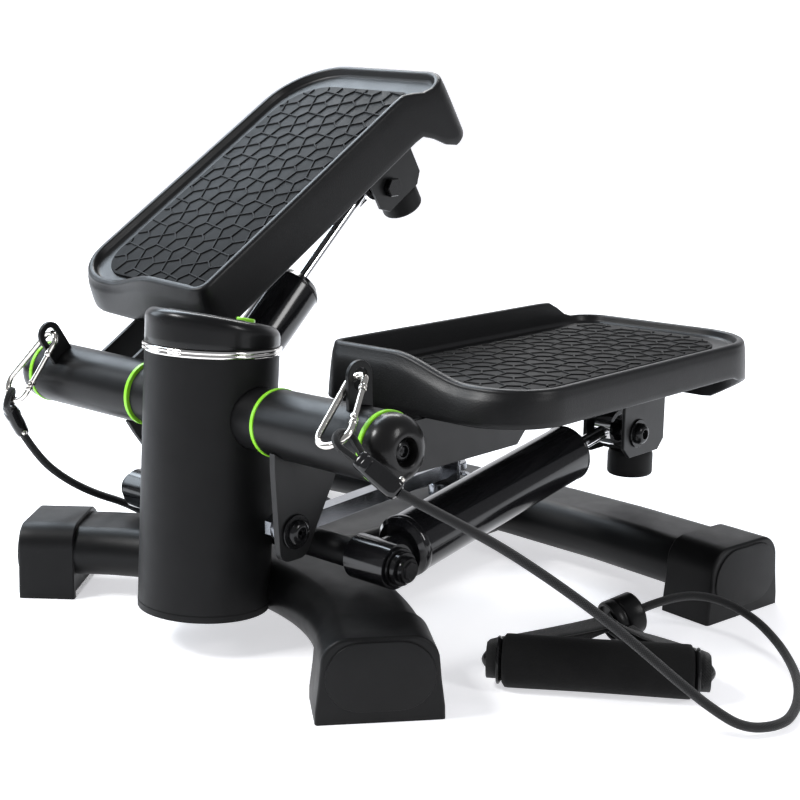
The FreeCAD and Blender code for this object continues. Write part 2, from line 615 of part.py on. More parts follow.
def build_eyelet():
    """A loop plate standing on the sleeve, square to the hinge axis."""
    place = SLEEVE * Placement(Vector(value("eyelet_along - eyelet_thick / 2"), 0, 0), Rotation())
    turn = Rotation(Vector(0, 1, 0), 90)
    top = cylinder("eyelet_top", "eyelet_width / 2", "eyelet_thick",
                   place * Placement(Vector(0, 0, value("eyelet_rise")), turn))
    stem = box("eyelet_stem", ("0", "-eyelet_width / 2", "10"),
               ("eyelet_thick", "eyelet_width / 2", "eyelet_rise"), place)
    low = value("eyelet_rise") - 4
    holes = [cylinder(f"eyelet_hole{number}", "eyelet_slot", "eyelet_thick + 20",
                      place * Placement(Vector(-10, 0, z), turn))
             for number, z in enumerate((low, low + 4))]
    slot = box("eyelet_slot_box", ("-10", "-eyelet_slot", "eyelet_rise - 4"),
               ("eyelet_thick + 10", "eyelet_slot", "eyelet_rise"), place)
    body = cut("eyelet", fuse("eyelet", top, stem), fuse("eyelet_opening", *holes, slot),
               sleeve_solid("eyelet_sleeve"))
    return {"band_eyelet": body}


def build_bumper():
    height = "bracket_bottom - bumper_bottom"
    bumper = lathe("bumper_block", [
        ("0", "0"), ("bumper_radius - 1.5", "0"), ("bumper_radius", "1.5"),
        ("bumper_radius", f"{height} - 4"), ("bumper_radius - 1.5", height), ("0", height)],
        Placement(Vector(value("bumper_x"), value("bumper_y"), value("bumper_bottom")), Rotation()))
    return {"bumper": bumper}


def build_pedal_bolts():
    """The crank bolt with its washer and nut, and the cylinder's upper bolt with its nut."""
    sideways = Rotation(Vector(0, 1, 0), 90)
    crank = lathe("crank_bolt", [
        ("0", "-18"), ("5", "-18"), ("8", "-17"), ("8", "-12"), ("5", "-12"), ("5", "5.3"),
        ("11.5", "5.3"), ("11.5", "7"), ("8.5", "7.2"), ("8", "12"), ("0", "13")],
        Placement(Vector(value("crank_x") - 2.8, value("crank_bolt_y"), value("crank_bolt_z")),
                  sideways))
    width = "arm_outer - arm_inner"
    upper = lathe("upper_bolt", [
        ("0", "-6"), ("8", "-6"), ("8", "0"), ("upper_bolt_radius", "0"),
        ("upper_bolt_radius", width), ("11", width), ("11", f"{width} + 1.6"),
        ("8", f"{width} + 1.6"), ("7.4", f"{width} + 6"), ("0", f"{width} + 7")],
        Placement(Vector(value("arm_inner"), value("upper_y"), value("upper_z")), sideways))
    return {"pedal_bolts": group("pedal_bolts", crank, upper)}


def build_pedals():
    for maker in (build_sleeve, build_crank, build_arm, build_pedal, build_eyelet, build_bumper,
                  build_pedal_bolts):
        for name, item in maker().items():
            keep("right_" + name, item)
            keep("left_" + name, mirrored("left_" + name, item, LEFT_POSE))


# ---------------------------------------------------------------- cylinders

def build_cylinder(side):
    """A damper between the lower axle and the upper bolt, at that side's rest length."""
    sign = 1 if side == "right" else -1
    pivot = Vector(value("cylinder_x"), value("lower_y"), value("lower_z"))
    upper = Vector(value("arm_inner + arm_outer") / 2, value("upper_y"), value("upper_z"))
    if side == "left":
        upper = about(AXIS_POINT, AXIS, value("left_raise")).multVec(upper)
    reach = math.hypot(upper.y - pivot.y, upper.z - pivot.z)
    lean = math.atan2(upper.z - pivot.z, upper.y - pivot.y) + math.radians(
        value("cylinder_pose_trim"))
    direction = Vector(0, math.cos(lean), math.sin(lean))
    pivot.x *= sign
    line = along(pivot, direction)
    sideways = Rotation(Vector(0, 1, 0), 90)

    def across(radius, length, centre):
        place = Placement(centre - Vector(value(length) / 2, 0, 0), sideways)
        return cylinder(side + "_cross", radius, length, place)
    tube = lathe(side + "_tube", [
        ("0", "cylinder_start"), ("cylinder_radius - 3", "cylinder_start"),
        ("cylinder_radius", "cylinder_start + 3"), ("cylinder_radius", "cylinder_end - 5"),
        ("cylinder_radius - 4", "cylinder_end"), ("rod_radius + running_gap", "cylinder_end"),
        ("rod_radius + running_gap", "cylinder_end - 16"), ("cylinder_bore", "cylinder_end - 16"),
        ("cylinder_bore", "cylinder_start + 9"), ("0", "cylinder_start + 9")], line)
    neck = cylinder(side + "_neck", "12", "cylinder_start + 1", line)
    barrel = across("barrel_radius", "barrel_length", pivot)
    bore = across("lower_radius + running_gap", "barrel_length + 10", pivot)
    keep(side + "_cylinder", cut(side + "_cylinder", fuse(side + "_cylinder", tube, neck, barrel),
                                 bore))
    end = pivot + direction * reach
    rod_place = along(end, direction * -1)
    rod = lathe(side + "_rod", [
        ("0", "rod_eye_radius - 3"), ("rod_radius", "rod_eye_radius - 3"),
        ("rod_radius", "rod_length"), ("piston_radius", "rod_length"),
        ("piston_radius", "rod_length + piston_thick"), ("0", "rod_length + piston_thick")],
        rod_place)
    eye = across("rod_eye_radius", "rod_eye_width", end)
    hole = across("rod_eye_bore", "rod_eye_width + 10", end)
    keep(side + "_rod", cut(side + "_rod", fuse(side + "_rod", rod, eye), hole))
    return lean


# ---------------------------------------------------------------- equaliser

def build_rocker():
    """A flat lever on the beam, with a pin at each end; the right end is forward."""
    z = value("rocker_z")
    turn = Placement(Vector(0, value("rocker_y"), z - value("rocker_thick") / 2),
                     Rotation(Vector(0, 0, 1), -value("rocker_turn")))
    arm = value("rocker_arm")
    bar = box("rocker_bar", ("-rocker_arm", "-9", "0"), ("rocker_arm", "9", "rocker_thick"), turn)
    pieces = [bar, cylinder("rocker_hub", "16", "rocker_thick", turn)]
    for number, x in enumerate((-arm, arm)):
        pieces.append(cylinder(f"rocker_end{number}", "9", "rocker_thick",
                               turn * Placement(Vector(x, 0, 0), Rotation())))
        pieces.append(cylinder(f"rocker_pin{number}", "rocker_pin_radius", "rocker_thick + 26",
                               turn * Placement(Vector(x, 0, -13), Rotation())))
    hole = cylinder("rocker_hole", "8 + running_gap", "40",
                    turn * Placement(Vector(0, 0, -20), Rotation()))
    keep("rocker", cut("rocker", fuse("rocker", *pieces), hole))
    return [turn.multVec(Vector(x, 0, value("rocker_thick") / 2)) for x in (arm, -arm)]


def build_link(side, rocker_end):
    """A rod with a flat eye on the crank bolt and a fork about the rocker's pin."""
    front = Vector(value("link_x"), value("crank_bolt_y"), value("crank_bolt_z"))
    pin_line = AXIS
    if side == "left":
        front = mirror_point(about(AXIS_POINT, AXIS, value("left_raise")).multVec(front))
        pin_line = LEFT_AXIS
    back = rocker_end
    direction = (back - front).normalize()
    level = Vector(direction.x, direction.y, 0).normalize()
    heading = math.degrees(math.atan2(level.x, level.y))
    length = (back - front).Length
    fork = 16.0
    rod = cylinder(side + "_link_rod", "link_radius", str(length - fork - 12),
                   along(front, direction, 12))
    eye = cylinder(side + "_link_eye", "10", "link_tab", along(
        front, pin_line, -value("link_tab") / 2))
    hole = cylinder(side + "_link_hole", "link_eye_bore", "40", along(front, pin_line, -20))
    neck = cylinder(side + "_link_neck", "link_tab / 2", "16", along(front, direction))
    shift = Vector(level.y, -level.x, 0) * value(side + "_fork_shift")
    fork_place = Placement(back + shift, Rotation(Vector(0, 0, 1), -heading))
    half = "clevis_gap / 2"
    plates = []
    for number, (low, high) in enumerate(((half, f"{half} + 2.5"), (f"-{half} - 2.5", f"-{half}"))):
        plates.append(box(f"{side}_fork_plate{number}", ("-clevis_width / 2", f"-{fork} - 4", low),
                          ("clevis_width / 2", "clevis_tip", high), fork_place))
        plates.append(cylinder(f"{side}_fork_end{number}", "clevis_width / 2", "2.5",
                               fork_place * Placement(Vector(0, value("clevis_tip"), value(low)),
                                                      Rotation())))
    bridge = box(side + "_fork_bridge", ("-clevis_width / 2", f"-{fork} - 4", f"-{half} - 2.5"),
                 ("clevis_width / 2", f"-{fork} - 1.5", f"{half} + 2.5"), fork_place)
    pin_hole = cylinder(side + "_fork_hole", "clevis_hole", "60",
                        fork_place * Placement(Vector(0, 0, -30), Rotation()))
    body = cut(side + "_link", fuse(side + "_link", rod, neck, eye, bridge, *plates), hole, pin_hole)
    keep(side + "_link", body)


# ---------------------------------------------------------------- elastic bands

def arc_path(points):
    """Straight runs joined by tangent arcs, each as large as its two runs allow."""
    edges = []
    radii = []
    here = points[0]
    for before, corner, after in zip(points, points[1:], points[2:]):
        to_corner = corner - before
        from_corner = after - corner
        shorter = min(to_corner.Length, from_corner.Length)
        turn = to_corner.getAngle(from_corner)
        back = 0.45 * shorter
        radius = back / math.tan(turn / 2)
        radii.append(radius)
        first = corner - Vector(to_corner).normalize() * back
        last = corner + Vector(from_corner).normalize() * back
        inward = (Vector(from_corner).normalize() - Vector(to_corner).normalize()).normalize()
        depth = radius * (1 / math.cos(turn / 2) - 1)
        edges.append(Part.LineSegment(here, first).toShape())
        edges.append(Part.Arc(first, corner + inward * depth, last).toShape())
        here = last
    edges.append(Part.LineSegment(here, points[-1]).toShape())
    return Part.Wire(edges), radii


def tube_along(name, points, radius):
    spine, radii = arc_path(points)
    section = Part.Wire([Part.makeCircle(radius, points[0], points[1] - points[0])])
    shape = spine.makePipeShell([section], True, False)
    expected = math.pi * radius ** 2 * spine.Length
    print(f"{name}: length {spine.Length:.0f}, smallest bend {min(radii):.0f}, "
          f"volume {shape.Volume / expected:.3f} of section times length")
    return shape_part(name, shape)


def snap_hook(side, top, bottom, hinge):
    """A pear-shaped snap hook hanging from top to bottom, and its sprung gate."""
    down = (bottom - top).normalize()
    sideways = (hinge - down * hinge.dot(down)).normalize()
    normal = down.cross(sideways)
    place = Placement(top, Rotation(sideways, normal, down * -1, "ZXY"))
    wire = value("carabiner_wire")
    long, wide = value("carabiner_length"), value("carabiner_width")
    small = value("carabiner_small")
    large = wide / 2 - wire
    low = long - wire - large - wire
    # round the small arc at the top, down the spine side, and round the large arc
    slope = math.asin((large - small) / (low - small))
    across = Vector(math.cos(slope), 0, math.sin(slope))
    small_centre = Vector(0, 0, -small)
    large_centre = Vector(0, 0, -low)
    spine_top = small_centre + Vector(-across.x, 0, across.z) * small
    spine_low = large_centre + Vector(-across.x, 0, across.z) * large
    gate_top = small_centre + across * small
    gate_low = large_centre + across * large
    gate_span = (0.22, 0.80)    # the gate's two ends, as shares of the straight side
    nose = gate_top + (gate_low - gate_top) * gate_span[0]
    gate_hinge = gate_top + (gate_low - gate_top) * gate_span[1]
    body_wire = Part.Wire([
        Part.LineSegment(nose, gate_top).toShape(),
        Part.Arc(gate_top, small_centre + Vector(0, 0, small), spine_top).toShape(),
        Part.LineSegment(spine_top, spine_low).toShape(),
        Part.Arc(spine_low, large_centre - Vector(0, 0, large), gate_low).toShape(),
        Part.LineSegment(gate_low, gate_hinge).toShape()])
    section = Part.Wire([Part.makeCircle(wire, nose, gate_top - nose)])
    hook = body_wire.makePipeShell([section], True, False)
    gap = value("knuckle_gap")
    span = (gate_hinge - nose)
    gate_start = nose + Vector(span).normalize() * gap
    gate_radius = wire * 0.86
    gate = Part.makeCylinder(gate_radius, span.Length - gap, gate_start, span)
    pin_line = Vector(0, 1, 0)
    knuckle = Part.makeCylinder(wire * 0.75, wire * 2, gate_hinge - pin_line * wire, pin_line)
    gate = gate.fuse(knuckle)
    hook = hook.cut(Part.makeCylinder(gate_radius + gap, 4 * wire, gate_hinge - pin_line * 2 * wire,
                                      pin_line))
    hook_item = shape_part(side + "_hook", hook)
    gate_item = shape_part(side + "_hook_gate", gate)
    hook_item.Placement = place
    gate_item.Placement = place
    keep(side + "_carabiner", hook_item)
    keep(side + "_carabiner_gate", gate_item)
    return place.multVec(gate_hinge), place.Rotation.multVec(Vector(0, 1, 0)), place, large_centre


def build_band(side, top, bottom, hinge, clamp_start, cord_points, grip_middle, grip_direction):
    """One band: hook, loop and clamp, cord, connector, webbing, handle core and foam grip."""
    gate_point, gate_axis, place, large_centre = snap_hook(side, top, bottom, hinge)
    wire = value("carabiner_wire")
    # webbing loop round the hook's wide end, where the hook faces the clamp
    toward = place.Rotation.inverted().multVec(clamp_start - place.multVec(large_centre))
    outward = Vector(toward.x, 0, toward.z).normalize()
    low_point = place.multVec(large_centre + outward * (value("carabiner_width") / 2 - wire))
    tangent = place.Rotation.multVec(Vector(-outward.z, 0, outward.x))
    start = cord_points[0]
    loop_width = 6.0
    clearance = 1.2
    ring_in = wire + clearance
    ring_out = ring_in + 2.6
    ring = Part.makeCylinder(ring_out, loop_width, low_point - tangent * loop_width / 2, tangent)
    ring = ring.cut(Part.makeCylinder(ring_in, loop_width + 2, low_point - tangent * (
        loop_width / 2 + 1), tangent))
    clamp_axis = start - clamp_start
    clamp = Part.makeCone(6.4, 5.2, clamp_axis.Length, clamp_start, clamp_axis)
    strap_from = low_point + (clamp_start - low_point).normalize() * (ring_in + 0.8)
    strap_axis = clamp_start - strap_from
    strap = Part.makeCylinder(2.6, strap_axis.Length + 2, strap_from, strap_axis)
    cord = tube_along(side + "_cord", cord_points, value("cord_radius"))
    clamp = ring.fuse([strap, clamp]).removeSplitter().cut(cord.Shape)
    keep(side + "_band_clamp", shape_part(side + "_clamp", clamp))
    keep(side + "_band_cord", cord)

    end = cord_points[-1]
    into = (end - cord_points[-2]).normalize()
    body = Part.makeCylinder(value("connector_radius"), value("connector_length"), end, into)
    keep(side + "_band_connector", shape_part(side + "_connector", body))
    tip = end + into * value("connector_length")

    length, core_radius = value("grip_length"), value("core_radius")
    along_grip = Vector(grip_direction).normalize()
    centre = Vector(grip_middle.x, grip_middle.y, value("grip_radius"))
    grip = Part.makeCylinder(value("grip_radius"), length, centre - along_grip * length / 2,
                             along_grip)
    core_length = length + 8
    core = Part.makeCylinder(core_radius, core_length, centre - along_grip * core_length / 2,
                             along_grip)
    knobs = [Part.makeSphere(value("knob_radius"), centre + along_grip * offset * (core_length / 2 + 3))
             for offset in (-1, 1)]
    keep(side + "_handle_core", shape_part(side + "_core", core.fuse(knobs).removeSplitter()))
    keep(side + "_foam_grip", shape_part(side + "_grip", grip.cut(core)))

    # two flat webbing legs from the connector's tip to the ends of the handle
    legs = []
    for offset in (-1, 1):
        target = centre + along_grip * offset * (length / 2 + 2)
        toward = tip - target
        begin = target + Vector(toward).normalize() * (core_radius + 1.5)
        span = tip - begin
        turn = Rotation(Vector(1, 0, 0), Vector(0, 0, 1), span, "ZXY")
        leg = Part.makeBox(value("webbing_width"), value("webbing_thick"), span.Length,
                           Vector(-value("webbing_width") / 2, -value("webbing_thick") / 2, 0))
        leg.Placement = Placement(begin, turn)
        legs.append(leg)
    webbing = legs[0].fuse(legs[1]).cut(core).cut(Part.makeCylinder(
        value("grip_radius") + 0.3, length + 1, centre - along_grip * (length + 1) / 2, along_grip))
    webbing = webbing.cut(body).cut(Part.Compound(knobs))
    webbing = max(webbing.Solids, key=lambda solid: solid.Volume)
    keep(side + "_handle_webbing", shape_part(side + "_webbing", webbing))
    return gate_point, gate_axis


def band_points(points):
    """Route points given from the column's foot, as places in the machine's frame."""
    return [Vector(x, y + value("column_y"), z) for x, y, z in points]


def hook_top():
    """Where the right hook's wire passes through the eyelet, a little off its middle."""
    return SLEEVE.multVec(Vector(value("eyelet_along") - 2.2, 1.5, value("eyelet_rise") - 0.5))


RIGHT_CORD = [
    (203, -22, 148), (223, -3, 133), (243, 19, 116), (262, 42, 95), (281, 65, 72), (298, 84, 50),
    (318, 88, 37), (336, 100, 20), (350, 116, 6), (362, 139, 4.5), (357, 165, 4.5),
    (343, 196, 4.5), (324, 224, 4.5), (300, 248, 8), (274, 260, 16), (247, 254, 25),
    (227, 236, 27), (216, 214, 22)]
LEFT_CORD = [
    (-175, -23, 119), (-174, -11, 98), (-170, 8, 79), (-163, 30, 64), (-157, 54, 53),
    (-152, 78, 36), (-152, 100, 20), (-151, 122, 13.5), (-150, 140, 13)]


def build_bands():
    clamp, = band_points([(178, -29, 165)])
    low, = band_points([(163, -38, 170)])
    grip, = band_points([(249, 112, 0)])
    pins = {"right": build_band("right", hook_top(), low, AXIS, clamp,
                                band_points(RIGHT_CORD), grip, Vector(0.826, 0.564, 0))}
    top = LEFT_POSE.multVec(mirror_point(hook_top()))
    clamp, = band_points([(-173, -35, 142)])
    grip, = band_points([(-118, 222, 0)])
    pins["left"] = build_band("left", top, top + Vector(-23, -20, -42), LEFT_AXIS, clamp,
                              band_points(LEFT_CORD), grip, Vector(0.94, -0.35, 0))
    return pins


# ---------------------------------------------------------------- the model

notch_tool = build_floor_frame()
build_column(notch_tool)
build_head()
build_axles()
build_lower_axle()
build_base_fasteners()
build_pedals()
RIGHT_LEAN = build_cylinder("right")
LEFT_LEAN = build_cylinder("left")
right_end, left_end = build_rocker()
build_link("right", right_end)
build_link("left", left_end)
PINS = build_bands()
doc.recompute()

for item in doc.Objects:
    if any(state in ("Invalid", "Error") for state in item.State):
        raise RuntimeError(f"{item.Name} is {item.State}")
for name, item in PARTS.items():
    if item.Shape.isNull() or not item.Shape.isValid() or not item.Shape.Solids:
        raise RuntimeError(f"{name} has no valid shape")

os.makedirs("parts", exist_ok=True)
for name, item in PARTS.items():
    item.Shape.exportStep(f"parts/{name}.step")
print(len(PARTS), "parts written")
print("cylinder lean", math.degrees(RIGHT_LEAN), math.degrees(LEFT_LEAN))
print("gate pins", PINS)
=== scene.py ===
"""Looks for the mini stepper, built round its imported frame. Sizes are in millimetres, turned into
metres when a mesh is made; the row's frame is +X to the right pedal, +Y to the user, +Z up."""

import functools
import json
import math

import bmesh
import bpy
from mathutils import Matrix, Vector


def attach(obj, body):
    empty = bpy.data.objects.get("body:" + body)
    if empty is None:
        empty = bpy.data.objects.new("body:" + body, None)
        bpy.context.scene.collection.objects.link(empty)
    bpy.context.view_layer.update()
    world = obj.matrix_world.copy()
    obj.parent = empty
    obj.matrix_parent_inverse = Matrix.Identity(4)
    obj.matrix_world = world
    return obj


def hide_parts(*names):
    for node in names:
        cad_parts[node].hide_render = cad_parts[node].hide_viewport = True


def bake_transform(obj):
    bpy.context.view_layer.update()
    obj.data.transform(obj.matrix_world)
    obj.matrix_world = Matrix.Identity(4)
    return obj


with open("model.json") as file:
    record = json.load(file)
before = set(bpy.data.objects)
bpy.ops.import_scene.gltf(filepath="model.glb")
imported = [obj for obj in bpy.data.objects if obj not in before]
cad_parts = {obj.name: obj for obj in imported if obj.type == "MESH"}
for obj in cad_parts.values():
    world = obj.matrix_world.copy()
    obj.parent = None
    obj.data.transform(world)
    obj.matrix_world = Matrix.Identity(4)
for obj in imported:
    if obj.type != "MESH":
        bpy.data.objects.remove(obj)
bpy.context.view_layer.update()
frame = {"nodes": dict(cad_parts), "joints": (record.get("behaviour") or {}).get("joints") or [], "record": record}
scene = bpy.context.scene
MM = 0.001
JOINTS = {joint["name"]: joint for joint in frame["joints"]}
SIDES = ("right", "left")


def joint_spot(name):
    """Where a joint of the frame stands, in mm."""
    return Vector(JOINTS[name]["pos_m"]) / MM


# hinge of the pedals, and the pose of the raised left pedal
PIVOT = joint_spot("right_pedal_hinge")
AXIS = Vector(JOINTS["right_pedal_hinge"]["axis"])
LEFT_AXIS = Vector(JOINTS["left_pedal_hinge"]["axis"])
HINGE_LINE = {"right": AXIS, "left": LEFT_AXIS}
LEFT_RAISE = math.radians(33.5)
MIRROR = Matrix.Scale(-1, 4, Vector((1, 0, 0)))


def turned_about(point, axis, angle):
    return Matrix.Translation(point) @ Matrix.Rotation(angle, 4, axis) @ Matrix.Translation(-point)


PEDAL = {"right": Matrix.Identity(4), "left": turned_about(PIVOT, LEFT_AXIS, LEFT_RAISE) @ MIRROR}
FLIP = {"right": Matrix.Identity(4), "left": MIRROR}


def frame_on(origin, z_axis, x_hint=Vector((1, 0, 0))):
    """A matrix whose +Z is z_axis and whose +X is as near x_hint as can be."""
    up = Vector(z_axis).normalized()
    across = (Vector(x_hint) - up * up.dot(x_hint)).normalized()
    turn = Matrix((across, up.cross(across), up)).transposed().to_4x4()
    return Matrix.Translation(origin) @ turn


def polar(radius, degrees):
    """x and y of the point at this radius and angle."""
    return radius * math.cos(math.radians(degrees)), radius * math.sin(math.radians(degrees))


def lift(height):
    """A place this far up the local +Z."""
    return Matrix.Translation((0, 0, height))


UP = Vector((0, 0, 1))
SLEEVE_LINE = frame_on(PIVOT, AXIS, UP)
COLUMN_FOOT = Vector((0, -165, 0))
COLUMN_LEAN = math.radians(4.3)
COLUMN = Matrix.Translation(COLUMN_FOOT) @ Matrix.Rotation(-COLUMN_LEAN, 4, "X")
COLUMN_RADIUS, COLUMN_BOTTOM, COLUMN_TOP = 45.0, 24.0, 199.0
HEAD_HEIGHT, HEAD_SLOPE, RING_HEIGHT = 17.5, math.radians(9.7), 5.5
CRANK_BOLT, UPPER_BOLT = Vector((81.5, -155, 92)), Vector((103, 150, 113))
AXLE_END = Vector((118 + 34 / 2 + 0.4, -114, 70))      # outer face of the cylinder's barrel
ROCKER, ROCKER_ARM, ROCKER_TURN = Vector((0, 91, 82)), 32.0, 36.4


# ---------------------------------------------------------------- materials

def feed(tree, socket, content):
    """Gives a socket a plain value, or links the output that is to drive it."""
    if isinstance(content, bpy.types.NodeSocket):
        tree.links.new(content, socket)
    else:
        socket.default_value = content


def node(tree, kind, **values):
    """A new node with these settings and inputs."""
    made = tree.nodes.new(kind)
    for key, content in values.items():
        if hasattr(made, key) and key not in made.inputs:
            setattr(made, key, content)
        else:
            feed(tree, made.inputs[key], content)
    return made


def maths(tree, operation, *contents):
    """The output of a maths node."""
    made = node(tree, "ShaderNodeMath", operation=operation)
    for socket, content in zip(made.inputs, contents):
        feed(tree, socket, content)
    return made.outputs[0]


def mixed(tree, share, first, second):
    """The output of a node that blends two colours."""
    made = node(tree, "ShaderNodeMix", data_type="RGBA", Factor=share)
    feed(tree, made.inputs[6], first)
    feed(tree, made.inputs[7], second)
    return made.outputs[2]


def emboss(tree, height, strength, depth):
    """Turns a height between 0 and 1 into bumps of this depth in mm on the shader."""
    bump = node(tree, "ShaderNodeBump", Strength=strength, Distance=depth * MM, Height=height)
    tree.links.new(bump.outputs["Normal"], tree.nodes["Principled BSDF"].inputs["Normal"])


def toned(colour, share, more=0.0):
    return [min(1, c * share + more) for c in colour] + [1]


def finish(name, colour, rough, metal=0.0, coat=0.0, specular=0.2, sheen=0.0, vary=0.15,
           rough_vary=0.08, grain=(), grain_height=0.1, wear=0.0):
    """A shader whose colour and roughness drift a little, with grain in its bump.

    Grain lists (size in mm, share) of each layer; wear lightens patches, as rubbing does.
    """
    made = bpy.data.materials.new(name)
    made.use_nodes = True
    tree = made.node_tree
    inputs = tree.nodes["Principled BSDF"].inputs
    inputs["Metallic"].default_value = metal
    inputs["Coat Weight"].default_value = coat
    inputs["Coat Roughness"].default_value = 0.12
    inputs["Specular IOR Level"].default_value = specular
    inputs["Sheen Weight"].default_value = sheen
    inputs["Sheen Roughness"].default_value = 0.5
    where = node(tree, "ShaderNodeTexCoord").outputs["Object"]

    def noise(scale, detail, roughness=0.5):
        return node(tree, "ShaderNodeTexNoise", Vector=where, Scale=scale, Detail=detail,
                    Roughness=roughness).outputs["Fac"]

    tint = node(tree, "ShaderNodeValToRGB", Fac=noise(28.0, 4.0, 0.6))
    darker, lighter = tint.color_ramp.elements
    darker.position, lighter.position = 0.3, 0.7
    darker.color, lighter.color = toned(colour, 1 - vary), toned(colour, 1 + vary)
    shade = tint.outputs["Color"]
    if wear:
        limits = {"From Min": 0.60, "From Max": 0.80, "To Max": wear}
        rubbed = node(tree, "ShaderNodeMapRange", Value=noise(160.0, 8.0, 0.75), **limits)
        shade = mixed(tree, rubbed.outputs["Result"], shade, toned(colour, 2.4, 0.02))
    tree.links.new(shade, inputs["Base Color"])
    limits = {"To Min": max(0.02, rough - rough_vary), "To Max": min(1.0, rough + rough_vary)}
    spread = node(tree, "ShaderNodeMapRange", Value=noise(75.0, 5.0, 0.55), **limits)
    tree.links.new(spread.outputs["Result"], inputs["Roughness"])
    layers = [maths(tree, "MULTIPLY", noise(1000.0 / size, 2.0), share) for size, share in grain]
    if layers:
        height = functools.reduce(lambda low, high: maths(tree, "ADD", low, high), layers)
        emboss(tree, height, 1.0, grain_height)
    return made


def woven(name, colour, around, along, depth, twill=False):
    """Yarns crossing on a strap or round a cord, in the piece's own UV: u across, v along in mm."""
    made = finish(name, colour, 0.75, sheen=0.25)
    tree = made.node_tree
    split = node(tree, "ShaderNodeSeparateXYZ", Vector=node(tree, "ShaderNodeUVMap").outputs["UV"])

    def yarns(across, down):
        """The round backs of yarns that run aslant over the piece."""
        slant = maths(tree, "MULTIPLY", split.outputs["X"], across)
        phase = maths(tree, "MULTIPLY_ADD", split.outputs["Y"], down, slant)
        back = maths(tree, "ABSOLUTE", maths(tree, "SINE", phase))
        return maths(tree, "POWER", back, 0.7)

    turn, pitch = math.pi * around, math.pi / along
    crossing = (0.0, 2 * pitch) if twill else (-turn, pitch)
    cloth = maths(tree, "MULTIPLY", yarns(turn, pitch), yarns(*crossing))
    emboss(tree, cloth, 0.9, depth)
    # painted shade and highlight: the colour follows the yarns' height, darker in the hollows between yarns where
    # shade falls and lighter on the yarns' backs where light catches
    shade = mixed(tree, cloth, toned(colour, 0.35), toned(colour, 1.5))
    tree.links.new(shade, tree.nodes["Principled BSDF"].inputs["Base Color"])
    return made


def glass(name, colour):
    """A clear plastic that lets most light through."""
    made = finish(name, colour, 0.05, coat=0.5, vary=0.02, rough_vary=0.02)
    made.node_tree.nodes["Principled BSDF"].inputs["Transmission Weight"].default_value = 0.6
    return made


